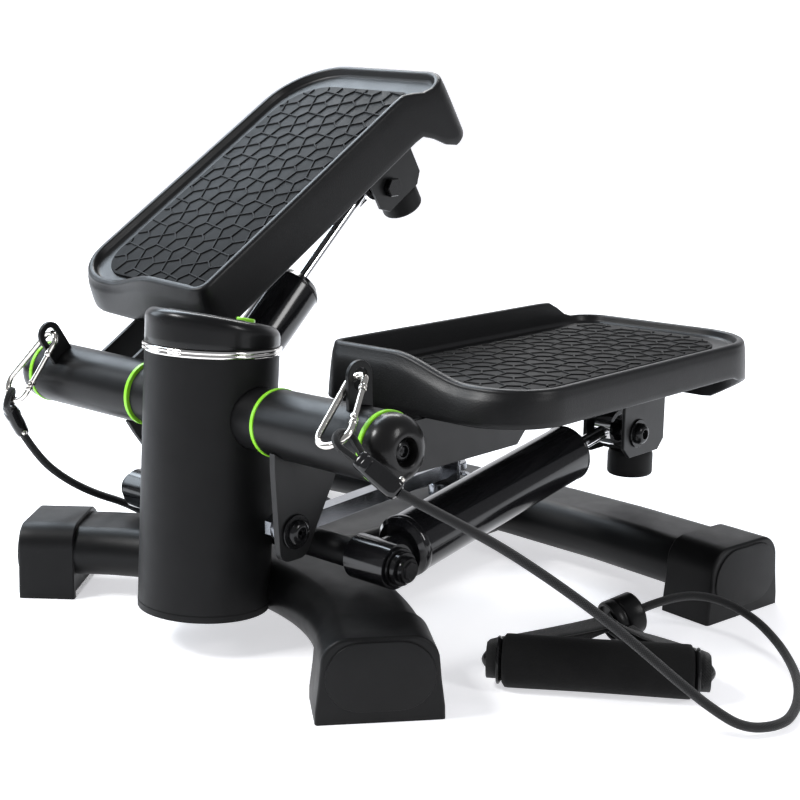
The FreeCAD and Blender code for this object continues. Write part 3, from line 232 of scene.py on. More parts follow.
BLACK = (0.0045, 0.0046, 0.0049)
COAT_GRAIN = [(0.9, 0.7), (0.35, 0.3)]
MOULD_GRAIN = [(1.1, 0.7), (0.5, 0.3)]
MATERIALS = {
    "frame_paint": finish("frame_paint", BLACK, 0.42, grain=COAT_GRAIN, grain_height=0.05, wear=0.05),
    "column_paint": finish("column_paint", (0.0055, 0.0055, 0.0058), 0.50, grain=COAT_GRAIN,
                           grain_height=0.03),
    "foot_rubber": finish("foot_rubber", (0.0055, 0.0055, 0.0058), 0.44, grain=[(1.6, 0.6), (0.4, 0.4)],
                          grain_height=0.05, wear=0.15),
    "ring_chrome": finish("ring_chrome", (0.86, 0.84, 0.81), 0.05, metal=1.0, vary=0.03,
                          rough_vary=0.02),
    "head_plastic": finish("head_plastic", BLACK, 0.30, coat=0.15, grain=COAT_GRAIN,
                           grain_height=0.02),
    "window": glass("window", (0.05, 0.06, 0.06)),
    "lcd": finish("lcd", (0.36, 0.40, 0.33), 0.25, vary=0.04),
    "board": finish("board", (0.02, 0.12, 0.05), 0.4),
    "cell": finish("cell", (0.6, 0.6, 0.6), 0.25, metal=1.0),
    "lime_plastic": finish("lime_plastic", (0.30, 0.78, 0.04), 0.32, coat=0.3, vary=0.05,
                           grain=[(0.8, 1.0)], grain_height=0.01),
    "axle_steel": finish("axle_steel", (0.45, 0.45, 0.46), 0.3, metal=1.0),
    "collar_plastic": finish("collar_plastic", (0.007, 0.007, 0.0074), 0.4, grain=COAT_GRAIN,
                             grain_height=0.02),
    "cap_plastic": finish("cap_plastic", (0.007, 0.0066, 0.0066), 0.30, coat=0.2,
                          grain=[(0.9, 1.0)], grain_height=0.015),
    "zinc": finish("zinc", (0.24, 0.25, 0.27), 0.20, metal=1.0, vary=0.12, rough_vary=0.08,
                   grain=[(2.0, 0.6), (0.5, 0.4)], grain_height=0.02),
    "sleeve_paint": finish("sleeve_paint", BLACK, 0.34, grain=[(0.7, 0.8), (0.3, 0.2)],
                           grain_height=0.055),
    "arm_paint": finish("arm_paint", (0.0065, 0.0066, 0.0070), 0.40, specular=0.4,
                        grain=COAT_GRAIN, grain_height=0.04, wear=0.05),
    "pedal_plastic": finish("pedal_plastic", (0.0060, 0.0060, 0.0064), 0.38, specular=0.3, grain=MOULD_GRAIN,
                            grain_height=0.14, wear=0.04),
    "mat_rubber": finish("mat_rubber", (0.0075, 0.0075, 0.0078), 0.56, specular=0.12, grain=[(0.8, 1.0)],
                         grain_height=0.03, wear=0.06),
    "bumper_rubber": finish("bumper_rubber", (0.005, 0.005, 0.0051), 0.55, grain=[(0.8, 1.0)],
                            grain_height=0.03),
    "black_bolt": finish("black_bolt", (0.010, 0.010, 0.0107), 0.22, metal=0.3, coat=0.3,
                         grain=[(1.0, 1.0)], grain_height=0.015),
    "cylinder_gloss": finish("cylinder_gloss", (0.008, 0.008, 0.009), 0.16, coat=0.6,
                             rough_vary=0.04, grain=[(3.5, 0.8), (0.8, 0.2)], grain_height=0.012),
    "rod_chrome": finish("rod_chrome", (0.82, 0.82, 0.83), 0.08, metal=1.0, vary=0.03,
                         rough_vary=0.03),
    "hook_nickel": finish("hook_nickel", (0.74, 0.71, 0.66), 0.16, metal=1.0, vary=0.08,
                          rough_vary=0.06, grain=[(1.5, 1.0)], grain_height=0.012),
    "clamp_plastic": finish("clamp_plastic", (0.009, 0.009, 0.0095), 0.14, coat=0.5),
    "connector_plastic": finish("connector_plastic", (0.006, 0.006, 0.0063), 0.33,
                                grain=COAT_GRAIN, grain_height=0.02),
    "core_plastic": finish("core_plastic", (0.006, 0.006, 0.0063), 0.28, coat=0.2),
    "grip_foam": finish("grip_foam", (0.0035, 0.0035, 0.0036), 0.85, sheen=0.04,
                        grain=[(1.3, 0.6), (0.6, 0.4)], grain_height=0.30, rough_vary=0.1),
    "cord_weave": woven("cord_weave", (0.012, 0.012, 0.0125), 8, 2.4, 0.35),
    "webbing": woven("webbing", (0.006, 0.006, 0.0063), 10, 1.8, 0.25, twill=True),
}
DARK = finish("dark_seam", (0.003, 0.003, 0.003), 0.7)


# ---------------------------------------------------------------- mesh helpers

def build(name, vertices, faces, slot, place=None, body="base", stands_for=(), sharp=40, bevel=0.0,
          uvs=None, levels=0, material=None):
    """A mesh piece from corners in mm, placed, finished and riding on a body (None: left free)."""
    place = place or Matrix.Identity(4)
    points = [place @ Vector(v) * MM for v in vertices]
    if place.determinant() < 0:
        faces = [tuple(reversed(face)) for face in faces]
    mesh = bpy.data.meshes.new(name)
    mesh.from_pydata(points, [], faces)
    mesh.validate()
    if uvs:
        layer = mesh.uv_layers.new(name="UVMap")
        for loop in mesh.loops:
            layer.data[loop.index].uv = uvs[loop.vertex_index]
    mesh.update()
    mesh.shade_smooth()
    mesh.set_sharp_from_angle(angle=math.radians(sharp))
    piece = bpy.data.objects.new(name, mesh)
    scene.collection.objects.link(piece)
    mesh.materials.append(material or MATERIALS[slot])
    if bevel:
        soften(piece, bevel)
    if levels:
        piece.modifiers.new("smooth", "SUBSURF").levels = levels
        piece.modifiers["smooth"].render_levels = levels
    if body:
        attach(piece, body)
    if stands_for:
        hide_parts(*stands_for)
    return piece


def soften(piece, width, angle=32, segments=3):
    """Rounds the edges of a piece without touching its own mesh."""
    weld = piece.modifiers.new("weld", "WELD")
    weld.merge_threshold = 0.00001
    flat = piece.modifiers.new("flat", "DECIMATE")
    flat.decimate_type = "DISSOLVE"
    flat.angle_limit = math.radians(1.0)
    edge = piece.modifiers.new("edge", "BEVEL")
    edge.width = width * MM
    edge.segments = segments
    edge.limit_method = "ANGLE"
    edge.angle_limit = math.radians(angle)
    even = piece.modifiers.new("even", "WEIGHTED_NORMAL")
    even.weight = 60
    for face in piece.data.polygons:
        face.use_smooth = True


def loft(rings, cap_start=True, cap_end=True, closed=True):
    """Corners and faces through rings that all have the same number of points."""
    count = len(rings[0])
    vertices = [point for ring in rings for point in ring]
    faces = []
    for level in range(len(rings) - 1):
        low, high = level * count, (level + 1) * count
        for index in range(count if closed else count - 1):
            after = (index + 1) % count
            faces.append((low + index, low + after, high + after, high + index))
    if cap_start:
        faces.append(tuple(reversed(range(count))))
    if cap_end:
        faces.append(tuple(range((len(rings) - 1) * count, len(rings) * count)))
    return vertices, faces


def joined(*parts):
    """One list of corners and faces out of several."""
    vertices, faces = [], []
    for some_vertices, some_faces in parts:
        start = len(vertices)
        vertices += list(some_vertices)
        faces += [tuple(index + start for index in face) for face in some_faces]
    return vertices, faces


def placed(part, place):
    vertices, faces = part
    if place.determinant() < 0:
        faces = [tuple(reversed(face)) for face in faces]
    return [place @ Vector(v) for v in vertices], faces


def circle(radius, sides, height=0.0):
    """Corners round a circle in local X and Y."""
    return [(*polar(radius, 360 * k / sides), height) for k in range(sides)]


def turned(profile, sides=96, caps=True):
    """A lathe shape about local Z: (radius, height) pairs from one end to the other."""
    return loft([circle(max(radius, 0.01), sides, height) for radius, height in profile], caps, caps)


def arc(centre_r, centre_z, radius, start, end, steps=6):
    """Points of a profile on an arc, angles in degrees from +r towards +z."""
    found = []
    for k in range(steps + 1):
        r, z = polar(radius, start + (end - start) * k / steps)
        found.append((centre_r + r, centre_z + z))
    return found


def tangents(points):
    """The direction of a line of points at each of them."""
    ends = zip([points[0]] + points[:-1], points[1:] + [points[-1]])
    return [(after - before).normalized() for before, after in ends]


def tube(points, radius, sides):
    """A round tube along close points, its rings turned as little as can be; v is in mm."""
    ways = tangents(points)
    across = ways[0].orthogonal().normalized()
    rings, uvs, length = [], [], 0.0
    for index, (point, way) in enumerate(zip(points, ways)):
        if index:
            across = ways[index - 1].rotation_difference(way) @ across
            length += (point - points[index - 1]).length
        across = (across - way * across.dot(way)).normalized()
        other = way.cross(across)
        rings.append([point + across * x + other * y for x, y, _ in circle(radius, sides)])
        uvs += [(2 * min(k, sides - k) / sides, length) for k in range(sides)]
    vertices, faces = loft(rings)
    return vertices, faces, uvs


def spline_points(points):
    """Close points along the NURBS curve of order 3 that has these control points."""
    curve = bpy.data.curves.new("route", "CURVE")
    curve.dimensions = "3D"
    curve.resolution_u = 10
    line = curve.splines.new("NURBS")
    line.points.add(len(points) - 1)
    for index, point in enumerate(points):
        line.points[index].co = (*point, 1)
    line.order_u = 3
    line.use_endpoint_u = True
    holder = bpy.data.objects.new("route", curve)
    mesh = bpy.data.meshes.new_from_object(holder)
    found = [v.co.copy() for v in mesh.vertices]
    bpy.data.objects.remove(holder)
    bpy.data.curves.remove(curve)
    bpy.data.meshes.remove(mesh)
    return found


def even_steps(points, step):
    """The same line with its points a steady distance apart."""
    found = [Vector(points[0])]
    left = step
    for before, after in zip(points, points[1:]):
        start, span = Vector(before), Vector(after) - Vector(before)
        done = 0.0
        while span.length - done >= left:
            done += left
            found.append(start + span.normalized() * done)
            left = step
        left -= span.length - done
    found.append(Vector(points[-1]))
    return found


# ---------------------------------------------------------------- camera, light and floor

def build_camera():
    data = bpy.data.cameras.new("camera")
    data.lens = 63.84
    data.sensor_width = 36.0
    data.shift_x = 0.0426
    data.shift_y = 0.0249
    data.clip_start = 0.05
    camera = bpy.data.objects.new("camera", data)
    camera.location = (0.71817, -0.75153, 0.36761)
    camera.rotation_euler = (math.radians(76.91), 0, math.radians(43.78))
    scene.collection.objects.link(camera)
    scene.camera = camera


def area_light(name, place, width, height, power, colour):
    """A softbox that faces the middle of the machine."""
    aim = Vector((0, -0.03, 0.12))
    data = bpy.data.lights.new(name, "AREA")
    data.shape = "RECTANGLE"
    data.size = width
    data.size_y = height
    data.energy = power
    data.color = colour
    light = bpy.data.objects.new(name, data)
    light.location = place
    light.rotation_euler = (aim - Vector(place)).to_track_quat("-Z", "Y").to_euler()
    scene.collection.objects.link(light)


def build_world():
    world = bpy.data.worlds.new("studio")
    scene.world = world
    world.use_nodes = True
    world.node_tree.nodes["Background"].inputs["Color"].default_value = (0.93, 0.95, 1.0, 1)
    world.node_tree.nodes["Background"].inputs["Strength"].default_value = 0.30


def build_backdrop():
    """White paper on the floor that bends up into a wall behind the machine; in metres."""
    half, wall, bend, steps, turn = 6.0, 3.0, 1.2, 24, 44
    profile = [(-half, 0.0)] + arc(half - bend, bend, bend, -90, 0, steps) + [(half, wall)]
    rings = [[(x, y, z) for y, z in profile] for x in (-half, half)]
    vertices, faces = loft(rings, False, False, closed=False)
    mesh = bpy.data.meshes.new("floor")
    across = Matrix.Rotation(math.radians(turn), 3, "Z")
    mesh.from_pydata([across @ Vector(v) for v in vertices], [], faces)
    mesh.shade_smooth()
    floor = bpy.data.objects.new("floor", mesh)
    scene.collection.objects.link(floor)
    paper = finish("floor", (0.86, 0.86, 0.87), 0.6, vary=0.01, specular=0.2)
    inputs = paper.node_tree.nodes["Principled BSDF"].inputs
    inputs["Emission Color"].default_value = (0.97, 0.97, 1.0, 1)
    inputs["Emission Strength"].default_value = 0.60
    mesh.materials.append(paper)


def build_lights():
    """Softboxes: name, place, width, height, power and colour of each."""
    white, cool = (1, 1, 1), (0.80, 0.90, 1.0)
    area_light("key", (-0.9, -1.6, 2.0), 0.7, 0.6, 44, white)
    area_light("left", (-1.5, -0.7, 0.8), 0.7, 0.9, 10, cool)
    area_light("side", (1.9, 0.3, 1.2), 0.4, 0.9, 12, white)
    area_light("back", (-1.2, 1.5, 1.8), 1.2, 0.5, 20, white)
    area_light("sky", (-1.5, 0.3, 1.75), 1.3, 0.9, 34, cool)


build_camera()
build_world()
build_backdrop()
build_lights()
scene.view_settings.view_transform = "Standard"


# ---------------------------------------------------------------- elastic cords

CORD_DIAMETER = 6.0
RIGHT_CORD = [
    (203, -22, 148), (223, -3, 133), (243, 19, 116), (262, 42, 95), (281, 65, 72), (298, 84, 50),
    (318, 88, 37), (336, 100, 20), (350, 116, 6), (362, 139, 4.5), (357, 165, 4.5),
    (343, 196, 4.5), (324, 224, 4.5), (300, 248, 8), (274, 260, 16), (247, 254, 25),
    (229, 230, 27), (219, 206, 21)]
LEFT_CORD = [
    (-175, -23, 119), (-174, -11, 98), (-170, 8, 79), (-163, 30, 64), (-157, 54, 53),
    (-152, 78, 36), (-152, 100, 20), (-151, 122, 13.5), (-150, 140, 13)]
ROUTES = {side: [COLUMN_FOOT + Vector(p) for p in points]
          for side, points in (("right", RIGHT_CORD), ("left", LEFT_CORD))}


def build_cord(side):
    """The braided cord: a tube along the smooth line, drawn from the clamp to the connector."""
    route, step, knee = ROUTES[side], 2.0, 4
    line = even_steps(spline_points(route), step)
    vertices, faces, uvs = tube(line, CORD_DIAMETER / 2, 18)
    piece = build(side + "_cord", vertices, faces, "cord_weave", body=None, uvs=uvs, sharp=60)
    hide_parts(side + "_band_cord")
    length = sum((b - a).length for a, b in zip(line, line[1:]))
    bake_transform(piece)
    return piece, line, length


CORDS = {side: build_cord(side) for side in SIDES}


# ---------------------------------------------------------------- pedals

INNER, OUTER, FRONT, BACK = 45.0, 219.0, -98.0, 210.0
RIM, WALL_TOP, SKIRT, LIP, FLOOR = 190.0, 204.0, 166.0, 136.0, 184.0
CORNERS = (20.0, 46.0, 58.0, 26.0)      # inner front, outer front, outer back, inner back


def ease(low, high, x):
    share = min(1.0, max(0.0, (x - low) / (high - low)))
    return share * share * (3 - 2 * share)


@functools.cache
def outline(inset, corners=CORNERS, box=(INNER, FRONT, OUTER, BACK), corner_steps=12, side_steps=26):
    """The plan's corners in order, moved in by inset, each with its outward direction."""
    low_x, low_y, high_x, high_y = box
    a, b, c, d = corners
    centres = [(low_x + a, low_y + a), (high_x - b, low_y + b), (high_x - c, high_y - c),
               (low_x + d, high_y - d)]
    centres = [Vector(centre) for centre in centres]
    sizes = [max(radius - inset, 0.4) for radius in corners]
    found = []
    for number, (centre, size) in enumerate(zip(centres, sizes)):
        for k in range(corner_steps + 1):
            way = Vector(polar(1, 90 * (number + 2 + k / corner_steps)))
            found.append((*(centre + way * size), *way))
        here = centre + way * size
        there = centres[(number + 1) % 4] + way * sizes[(number + 1) % 4]
        found += [(*here.lerp(there, k / side_steps), *way) for k in range(1, side_steps)]
    return found


def rim_height(x, y):
    """The rim steps up to the wall along the inner side, but not towards the back."""
    across = 1 - ease(INNER + 60, INNER + 124, x)
    lengthwise = 1 - ease(BACK - 60, BACK - 26, y)
    return RIM + (WALL_TOP - RIM) * min(across, lengthwise)


def skirt_height(x, y):
    """The skirt hangs lowest on the inner side and at the back."""
    across = LIP + (SKIRT - LIP) * min(1.0, max(0.0, (x - OUTER + 52) / 57))
    lengthwise = SKIRT - (SKIRT - LIP) * ease(BACK - 60, BACK - 24, y)
    return max(across, lengthwise) + 0.4


def rake(ny):
    """How far the wall leans in: the front one slopes, the others are nearly upright."""
    return 2.0 + 6.5 * max(0.0, -ny) ** 2


def tray_ring(inset_of, height_of):
    """One level of the tray: how far in and how high at each corner of the plan."""
    found = []
    for index, (x, y, _, ny) in enumerate(outline(0.0)):
        found.append((*outline(round(inset_of(ny), 3))[index][:2], height_of(x, y)))
    return found


def tray_rings():
    """The tray from under its floor, round the skirt, the rim and the gutter to the floor."""
    wall, lip, edge, band, inner_edge, gutter = 3.2, 1.4, 3.0, 4.2, 1.8, 3.5
    rings = [
        tray_ring(lambda ny: rake(ny) + wall + 2, lambda x, y: FLOOR - 4),
        tray_ring(lambda ny: wall + 1.0, lambda x, y: max(skirt_height(x, y) + 3, SKIRT - 6)),
        tray_ring(lambda ny: wall, lambda x, y: skirt_height(x, y) + 1.0),
        tray_ring(lambda ny: wall - 0.8, skirt_height),
        tray_ring(lambda ny: 1.0, skirt_height),
        tray_ring(lambda ny: 0.3, lambda x, y: skirt_height(x, y) + 0.4),
        tray_ring(lambda ny: 0.0, lambda x, y: skirt_height(x, y) + lip)]
    for share in (k / 8 for k in range(1, 9)):
        bulge = 0.55 * (1 - math.sqrt(max(0.0, 1 - share ** 2.2))) + 0.45 * share
        rings.append(tray_ring(
            lambda ny: rake(ny) * bulge,
            lambda x, y: (skirt_height(x, y) + lip) * (1 - share) + (rim_height(x, y) - edge) * share))
    for out, up in (polar(edge, 18 * k) for k in range(1, 6)):
        rings.append(tray_ring(lambda ny: rake(ny) + edge - out,
                               lambda x, y: rim_height(x, y) - edge + up))
    for up, inward in (polar(inner_edge, 22.5 * k) for k in range(5)):
        rings.append(tray_ring(lambda ny: rake(ny) + band + inward,
                               lambda x, y: rim_height(x, y) - inner_edge + up))
    for out, down in (polar(gutter, 18 * k) for k in range(6)):
        rings.append(tray_ring(
            lambda ny: rake(ny) + band + inner_edge + 0.8 + gutter - out,
            lambda x, y: FLOOR + (gutter - down) * (0.8 if rim_height(x, y) < RIM + 1 else 1.0)))
    return rings


def build_pedal(side):
    """The moulded tray: raking walls with rounded edges, a gutter and a floor, ribbed below."""
    ribs, half_rib = [], 1.2
    for y in range(-60, 170, 46):
        for low, high in ((INNER + 7, 102), (142, OUTER - 9)):
            ribs.append(block((low, y - half_rib, SKIRT + 2), (high, y + half_rib, FLOOR - 3)))
    build(side + "_tray", *joined(loft(tray_rings()), *ribs), "pedal_plastic", PEDAL[side],
          side + "_pedal", [side + "_pedal_shell"], sharp=50)


def block(low, high):
    """A plain box between two corners."""
    x0, y0, z0 = low
    x1, y1, z1 = high
    vertices = [(x, y, z) for z in (z0, z1) for x, y in ((x0, y0), (x1, y0), (x1, y1), (x0, y1))]
    faces = [(3, 2, 1, 0), (4, 5, 6, 7), (0, 1, 5, 4), (1, 2, 6, 5), (2, 3, 7, 6), (3, 0, 4, 7)]
    return vertices, faces


MAT_BOX = (70.0, -74.0, 199.0, 182.0)
MAT_CORNERS = (12.0, 28.0, 40.0, 12.0)
TILE = 21.0


def in_mat(x, y, margin):
    """Whether a point lies inside the mat's edge by this margin."""
    low_x, low_y, high_x, high_y = MAT_BOX
    if not (low_x + margin < x < high_x - margin and low_y + margin < y < high_y - margin):
        return False
    corners = [(low_x, low_y, 1, 1), (high_x, low_y, -1, 1), (high_x, high_y, -1, -1),
               (low_x, high_y, 1, -1)]
    for (x0, y0, sx, sy), radius in zip(corners, MAT_CORNERS):
        dx, dy = (x0 + sx * radius - x) * sx, (y0 + sy * radius - y) * sy
        if dx > 0 and dy > 0 and math.hypot(dx, dy) > radius - margin:
            return False
    return True


def tile_lines():
    """Five-sided tiles: short bars turned in alternate cells, joined to the cells' corners."""
    half, reach = 0.23 * TILE, 14
    turn = Matrix.Rotation(math.radians(38), 2)
    centre = Vector((MAT_BOX[0] + MAT_BOX[2], MAT_BOX[1] + MAT_BOX[3])) / 2
    lines = []
    for i in range(-reach, reach + 1):
        for j in range(-reach, reach + 1):
            middle = Vector(((i + 0.5) * TILE, (j + 0.5) * TILE))
            along, across = Vector((1, 0)), Vector((0, 1))
            if (i + j) % 2:
                along, across = across, along
            ends = [middle + along * half, middle - along * half]
            lines.append(ends)
            for end, way in zip(ends, (1, -1)):
                lines += [[end, middle + (along * way + across * side) * TILE / 2] for side in (1, -1)]
    return [[turn @ a + centre, turn @ b + centre] for a, b in lines]


def clipped(line, margin):
    """The part of a line inside the mat's edge, or None."""
    start, end = line
    inside = [in_mat(*start, margin), in_mat(*end, margin)]
    if not any(inside):
        return None
    if all(inside):
        return start, end
    keep, leave = (start, end) if inside[0] else (end, start)
    low, high = 0.0, 1.0
    for _ in range(12):
        share = (low + high) / 2
        if in_mat(*keep.lerp(leave, share), margin):
            low = share
        else:
            high = share
    return (keep, keep.lerp(leave, low)) if low > 0.08 else None


def build_mat(side):
    """The rubber mat with its raised tile lines."""
    base, top, ridge = FLOOR + 0.1, FLOOR + 2.0, FLOOR + 3.0
    foot, crest, overlap, border = 0.95, 0.5, 0.5, 2.5
    levels = ((0.3, base), (0.0, base + 0.6), (0.0, top - 0.6), (0.2, top - 0.2), (0.7, top))
    section = [(-foot, top - 0.2), (-crest, ridge - 0.15), (0, ridge), (crest, ridge - 0.15),
               (foot, top - 0.2)]
    parts = [loft([[(x, y, height) for x, y, _, _ in outline(inset, MAT_CORNERS, MAT_BOX, 8, 10)]
                   for inset, height in levels])]
    for line in tile_lines():
        kept = clipped(line, border)
        if kept is None:
            continue
        start, end = (Vector((*point, 0)) for point in kept)
        along = (end - start).normalized() * overlap
        across = Vector((-along.y, along.x, 0)).normalized()
        parts.append(loft([[spot + across * u + UP * z for u, z in section]
                           for spot in (end + along, start - along)]))
    build(side + "_mat", *joined(*parts), "mat_rubber", PEDAL[side], side + "_pedal",
          [side + "_pedal_mat"], sharp=38)


# ---------------------------------------------------------------- feet and column

def stadium(width, thick):
    """Points round a shape with straight long sides and round ends."""
    half, radius = (width - thick) / 2, thick / 2
    return arc(half, 0.0, radius, -90, 90, 14) + arc(-half, 0.0, radius, 90, 270, 14)


def foot_section(inset):
    """Across a foot: sides that flare to the floor, under a top with big round corners."""
    half, top, shoulder, height, corner = 39.5, 36.0, 33.5, 54.0, 17.0
    found = [(half - inset, 0.0), (half - inset - 0.2, 8.0), (top + 1.0 - inset, shoulder - 8)]
    found += arc(top - corner, height - corner, corner - inset, 0, 90, 8)
    return found + [(-y, z) for y, z in reversed(found)]


def build_foot(name, spot, turn):
    """A pair of rubber feet with soft edges and a raised oval on the end of each."""
    length, edge, plate = 42.0, 2.2, 1.5
    stations = [(-length + 4, 6.0), (-length, 4.5), (-length, 1.0), (-length + 1, 0.0)]
    stations += [(-length + 10 * k, 0.0) for k in (1, 2, 3)] + arc(-edge, edge, edge, -90, 0, 5)
    body = loft([[(x, y, z) for y, z in foot_section(inset)] for x, inset in stations])
    levels = ((-0.5, -0.6), (0.0, -0.6), (0.25, 0.0), (plate - 0.7, 0.0), (plate - 0.2, 0.3),
              (plate, 1.0))
    oval = loft([[(x, y, z + 29.5) for y, z in stadium(67 - 2 * inset, 44 - 2 * inset)]
                 for x, inset in levels])
    place = Matrix.Translation(Vector((*spot, 0))) @ Matrix.Rotation(-math.radians(turn), 4, "Z")
    for side in SIDES:
        build(f"{side}_{name}", *joined(body, oval), "foot_rubber", FLIP[side] @ place, "base",
              [name + "_caps"], sharp=42)


def build_ring():
    """Two chrome beads with a groove between them."""
    bead, inside = 1.5, COLUMN_RADIUS - 1.5
    profile = [(inside, 0.2), (COLUMN_RADIUS, 0.1)] + arc(COLUMN_RADIUS, bead, bead, -80, 60, 8)
    profile += arc(COLUMN_RADIUS, RING_HEIGHT - bead, bead, -60, 80, 8)
    profile += [(COLUMN_RADIUS, RING_HEIGHT - 0.1), (inside, RING_HEIGHT - 0.1)]
    build("double_ring", *turned(profile, 128), "ring_chrome", COLUMN @ lift(COLUMN_TOP),
          "base", ["chrome_ring"], sharp=60)


def build_seam():
    """The dark line of the plug that closes the column's foot."""
    profile = [(44.6, 0.0), (45.15, 0.0), (45.15, 0.7), (44.6, 0.7)]
    build("column_seam", *turned(profile, 96, False), "column_paint",
          COLUMN @ lift(COLUMN_BOTTOM + 4.2), "base", sharp=30, material=DARK)


HEAD_BASE = COLUMN @ lift(COLUMN_TOP + RING_HEIGHT)
HEAD_TOP = HEAD_BASE @ lift(HEAD_HEIGHT) @ Matrix.Rotation(-HEAD_SLOPE, 4, "X")
DISPLAY_WIDTH, DISPLAY_DEPTH, DISPLAY_Y = 44.0, 26.0, -6.0
DIGIT_LOW, DIGIT_HIGH = 0.2, 0.42


def build_head():
    """The dome over the column: straight sides, a wide round edge and a sloping top."""
    radius, edge = COLUMN_RADIUS, 7.0

    def ring(size, height_of):
        return [(x, y, height_of(y)) for x, y, _ in circle(size, 128)]

    def top(y):
        return HEAD_HEIGHT - math.tan(HEAD_SLOPE) * y

    rings = [ring(radius - 2.5, lambda y: 0.0), ring(radius - 0.4, lambda y: 0.0),
             ring(radius, lambda y: 0.5)]
    for share in (0.25, 0.5, 0.75, 1.0):
        rings.append(ring(radius, lambda y: 0.5 + (top(y) - edge - 0.5) * share))
    for out, up in (polar(edge, 90 * k / 8) for k in range(1, 9)):
        rings.append(ring(radius - edge + out, lambda y: top(y) - edge + up))
    rings += [ring(size, lambda y: top(y) + 0.2) for size in (30, 22)]
    build("head_dome", *loft(rings), "head_plastic", HEAD_BASE, "base", ["head_housing"], sharp=60)


def display_plate(margin, corner, levels):
    """A plate of the display's shape with this margin: (inset, height) from low to high."""
    x_half, y_half = DISPLAY_WIDTH / 2 + margin, DISPLAY_DEPTH / 2 + margin
    box = (-x_half, DISPLAY_Y - y_half, x_half, DISPLAY_Y + y_half)
    return loft([[(x, y, z) for x, y, _, _ in outline(inset, (corner,) * 4, box, 6, 4)]
                 for inset, z in levels])


def build_display():
    """The bezel and lens on the head's top, with a liquid crystal panel that reads 0:00."""
    bezel = display_plate(2.5, 5, ((0.0, -0.4), (0.0, 0.35), (0.5, 0.6), (2.3, 0.6), (2.6, 0.25)))
    lens = display_plate(0.0, 3, ((0.0, 0.2), (0.0, 0.45), (0.4, 0.6)))
    panel = display_plate(-3.0, 1, ((0.0, 0.0), (0.0, 0.25)))
    digits = [digit(x, DISPLAY_Y, 5.0, 9.0) for x in (-12, 2, 10)]
    build("display_bezel", *bezel, "cap_plastic", HEAD_TOP, "base", sharp=35)
    build("display_lens", *lens, "window", HEAD_TOP, "base", ["display_window"], sharp=35)
    build("lcd_face", *panel, "lcd", HEAD_TOP, "base", ["lcd_panel"], sharp=35)
    build("lcd_digits", *joined(digits[0], colon(-4.5, DISPLAY_Y), *digits[1:]), "lcd", HEAD_TOP,
          "base", sharp=35, material=DARK)


def colon(x, y):
    spots = [(x, y + 2.2), (x, y - 2.2)]
    return joined(*[block((px - 0.5, py - 0.5, DIGIT_LOW), (px + 0.5, py + 0.5, DIGIT_HIGH))
                    for px, py in spots])


def digit(x, y, width, height):
    """A nought as six bars of a seven-bar display."""
    bar, bars = 1.0, []
    for level in (height / 2, -height / 2):
        bars.append(block((x - width / 2 + bar, y + level - bar / 2, DIGIT_LOW),
                          (x + width / 2 - bar, y + level + bar / 2, DIGIT_HIGH)))
    for edge in (x - width / 2, x + width / 2):
        for middle in (y - height / 4, y + height / 4):
            bars.append(block((edge - bar / 2, middle - height / 4 + bar, DIGIT_LOW),
                              (edge + bar / 2, middle + height / 4 - bar, DIGIT_HIGH)))
    return joined(*bars)


def build_button():
    """The lime button, slightly hollow on top."""
    knob = [(6.4, -3.0), (6.4, 2.0)] + arc(5.4, 2.4, 1.0, 0, 90, 5) + [(4.4, 3.35), (2.0, 3.2), (0, 3.15)]
    build("button_cap", *turned(knob, 64), "lime_plastic",
          HEAD_TOP @ Matrix.Translation((0, 29, -0.7)), "button", ["display_button"], sharp=50)


# ---------------------------------------------------------------- axles, screws and bolts

def socket_screw(head_radius, head_height, key):
    """A button-head screw: a domed head with a recess and six-sided key hole; z = 0 under it."""
    rise = 0.25
    profile = [(head_radius, 0.0), (head_radius, head_height * rise)]
    for angle in (math.radians(a) for a in range(10, 66, 9)):
        profile.append((head_radius * math.cos(angle) ** 0.7,
                        head_height * (rise + (1 - rise) * math.sin(angle))))
    top = profile[-1][1]
    floor = top - head_height * 0.5
    profile += [(key * 1.25, top), (key * 1.15, top - 0.4), (key * 1.15, floor)]
    bar = block((-key * 1.1, -key * 0.3, 0), (key * 1.1, key * 0.3, 0.6))
    star = [placed(bar, lift(floor) @ Matrix.Rotation(math.pi * k / 3, 4, "Z")) for k in range(3)]
    return joined(turned(profile, 48), *star)


def washer(inner, outer, low, high):
    edge = 0.4
    return turned([(inner, low), (outer - edge, low), (outer, low + edge), (outer, high - edge),
                   (outer - edge, high), (inner, high)], 64, False)


def shank(radius, low, high):
    return turned([(radius, low), (radius, high)], 32)


def hexagon_nut(radius, low, high):
    edge, small = 0.8, radius * 0.9
    return loft([circle(small, 6, low), circle(radius, 6, low + edge),
                 circle(radius, 6, high - edge), circle(small, 6, high)])


def sideways(spot):
    """A place whose +Z points along +X."""
    return frame_on(spot, Vector((1, 0, 0)), UP)


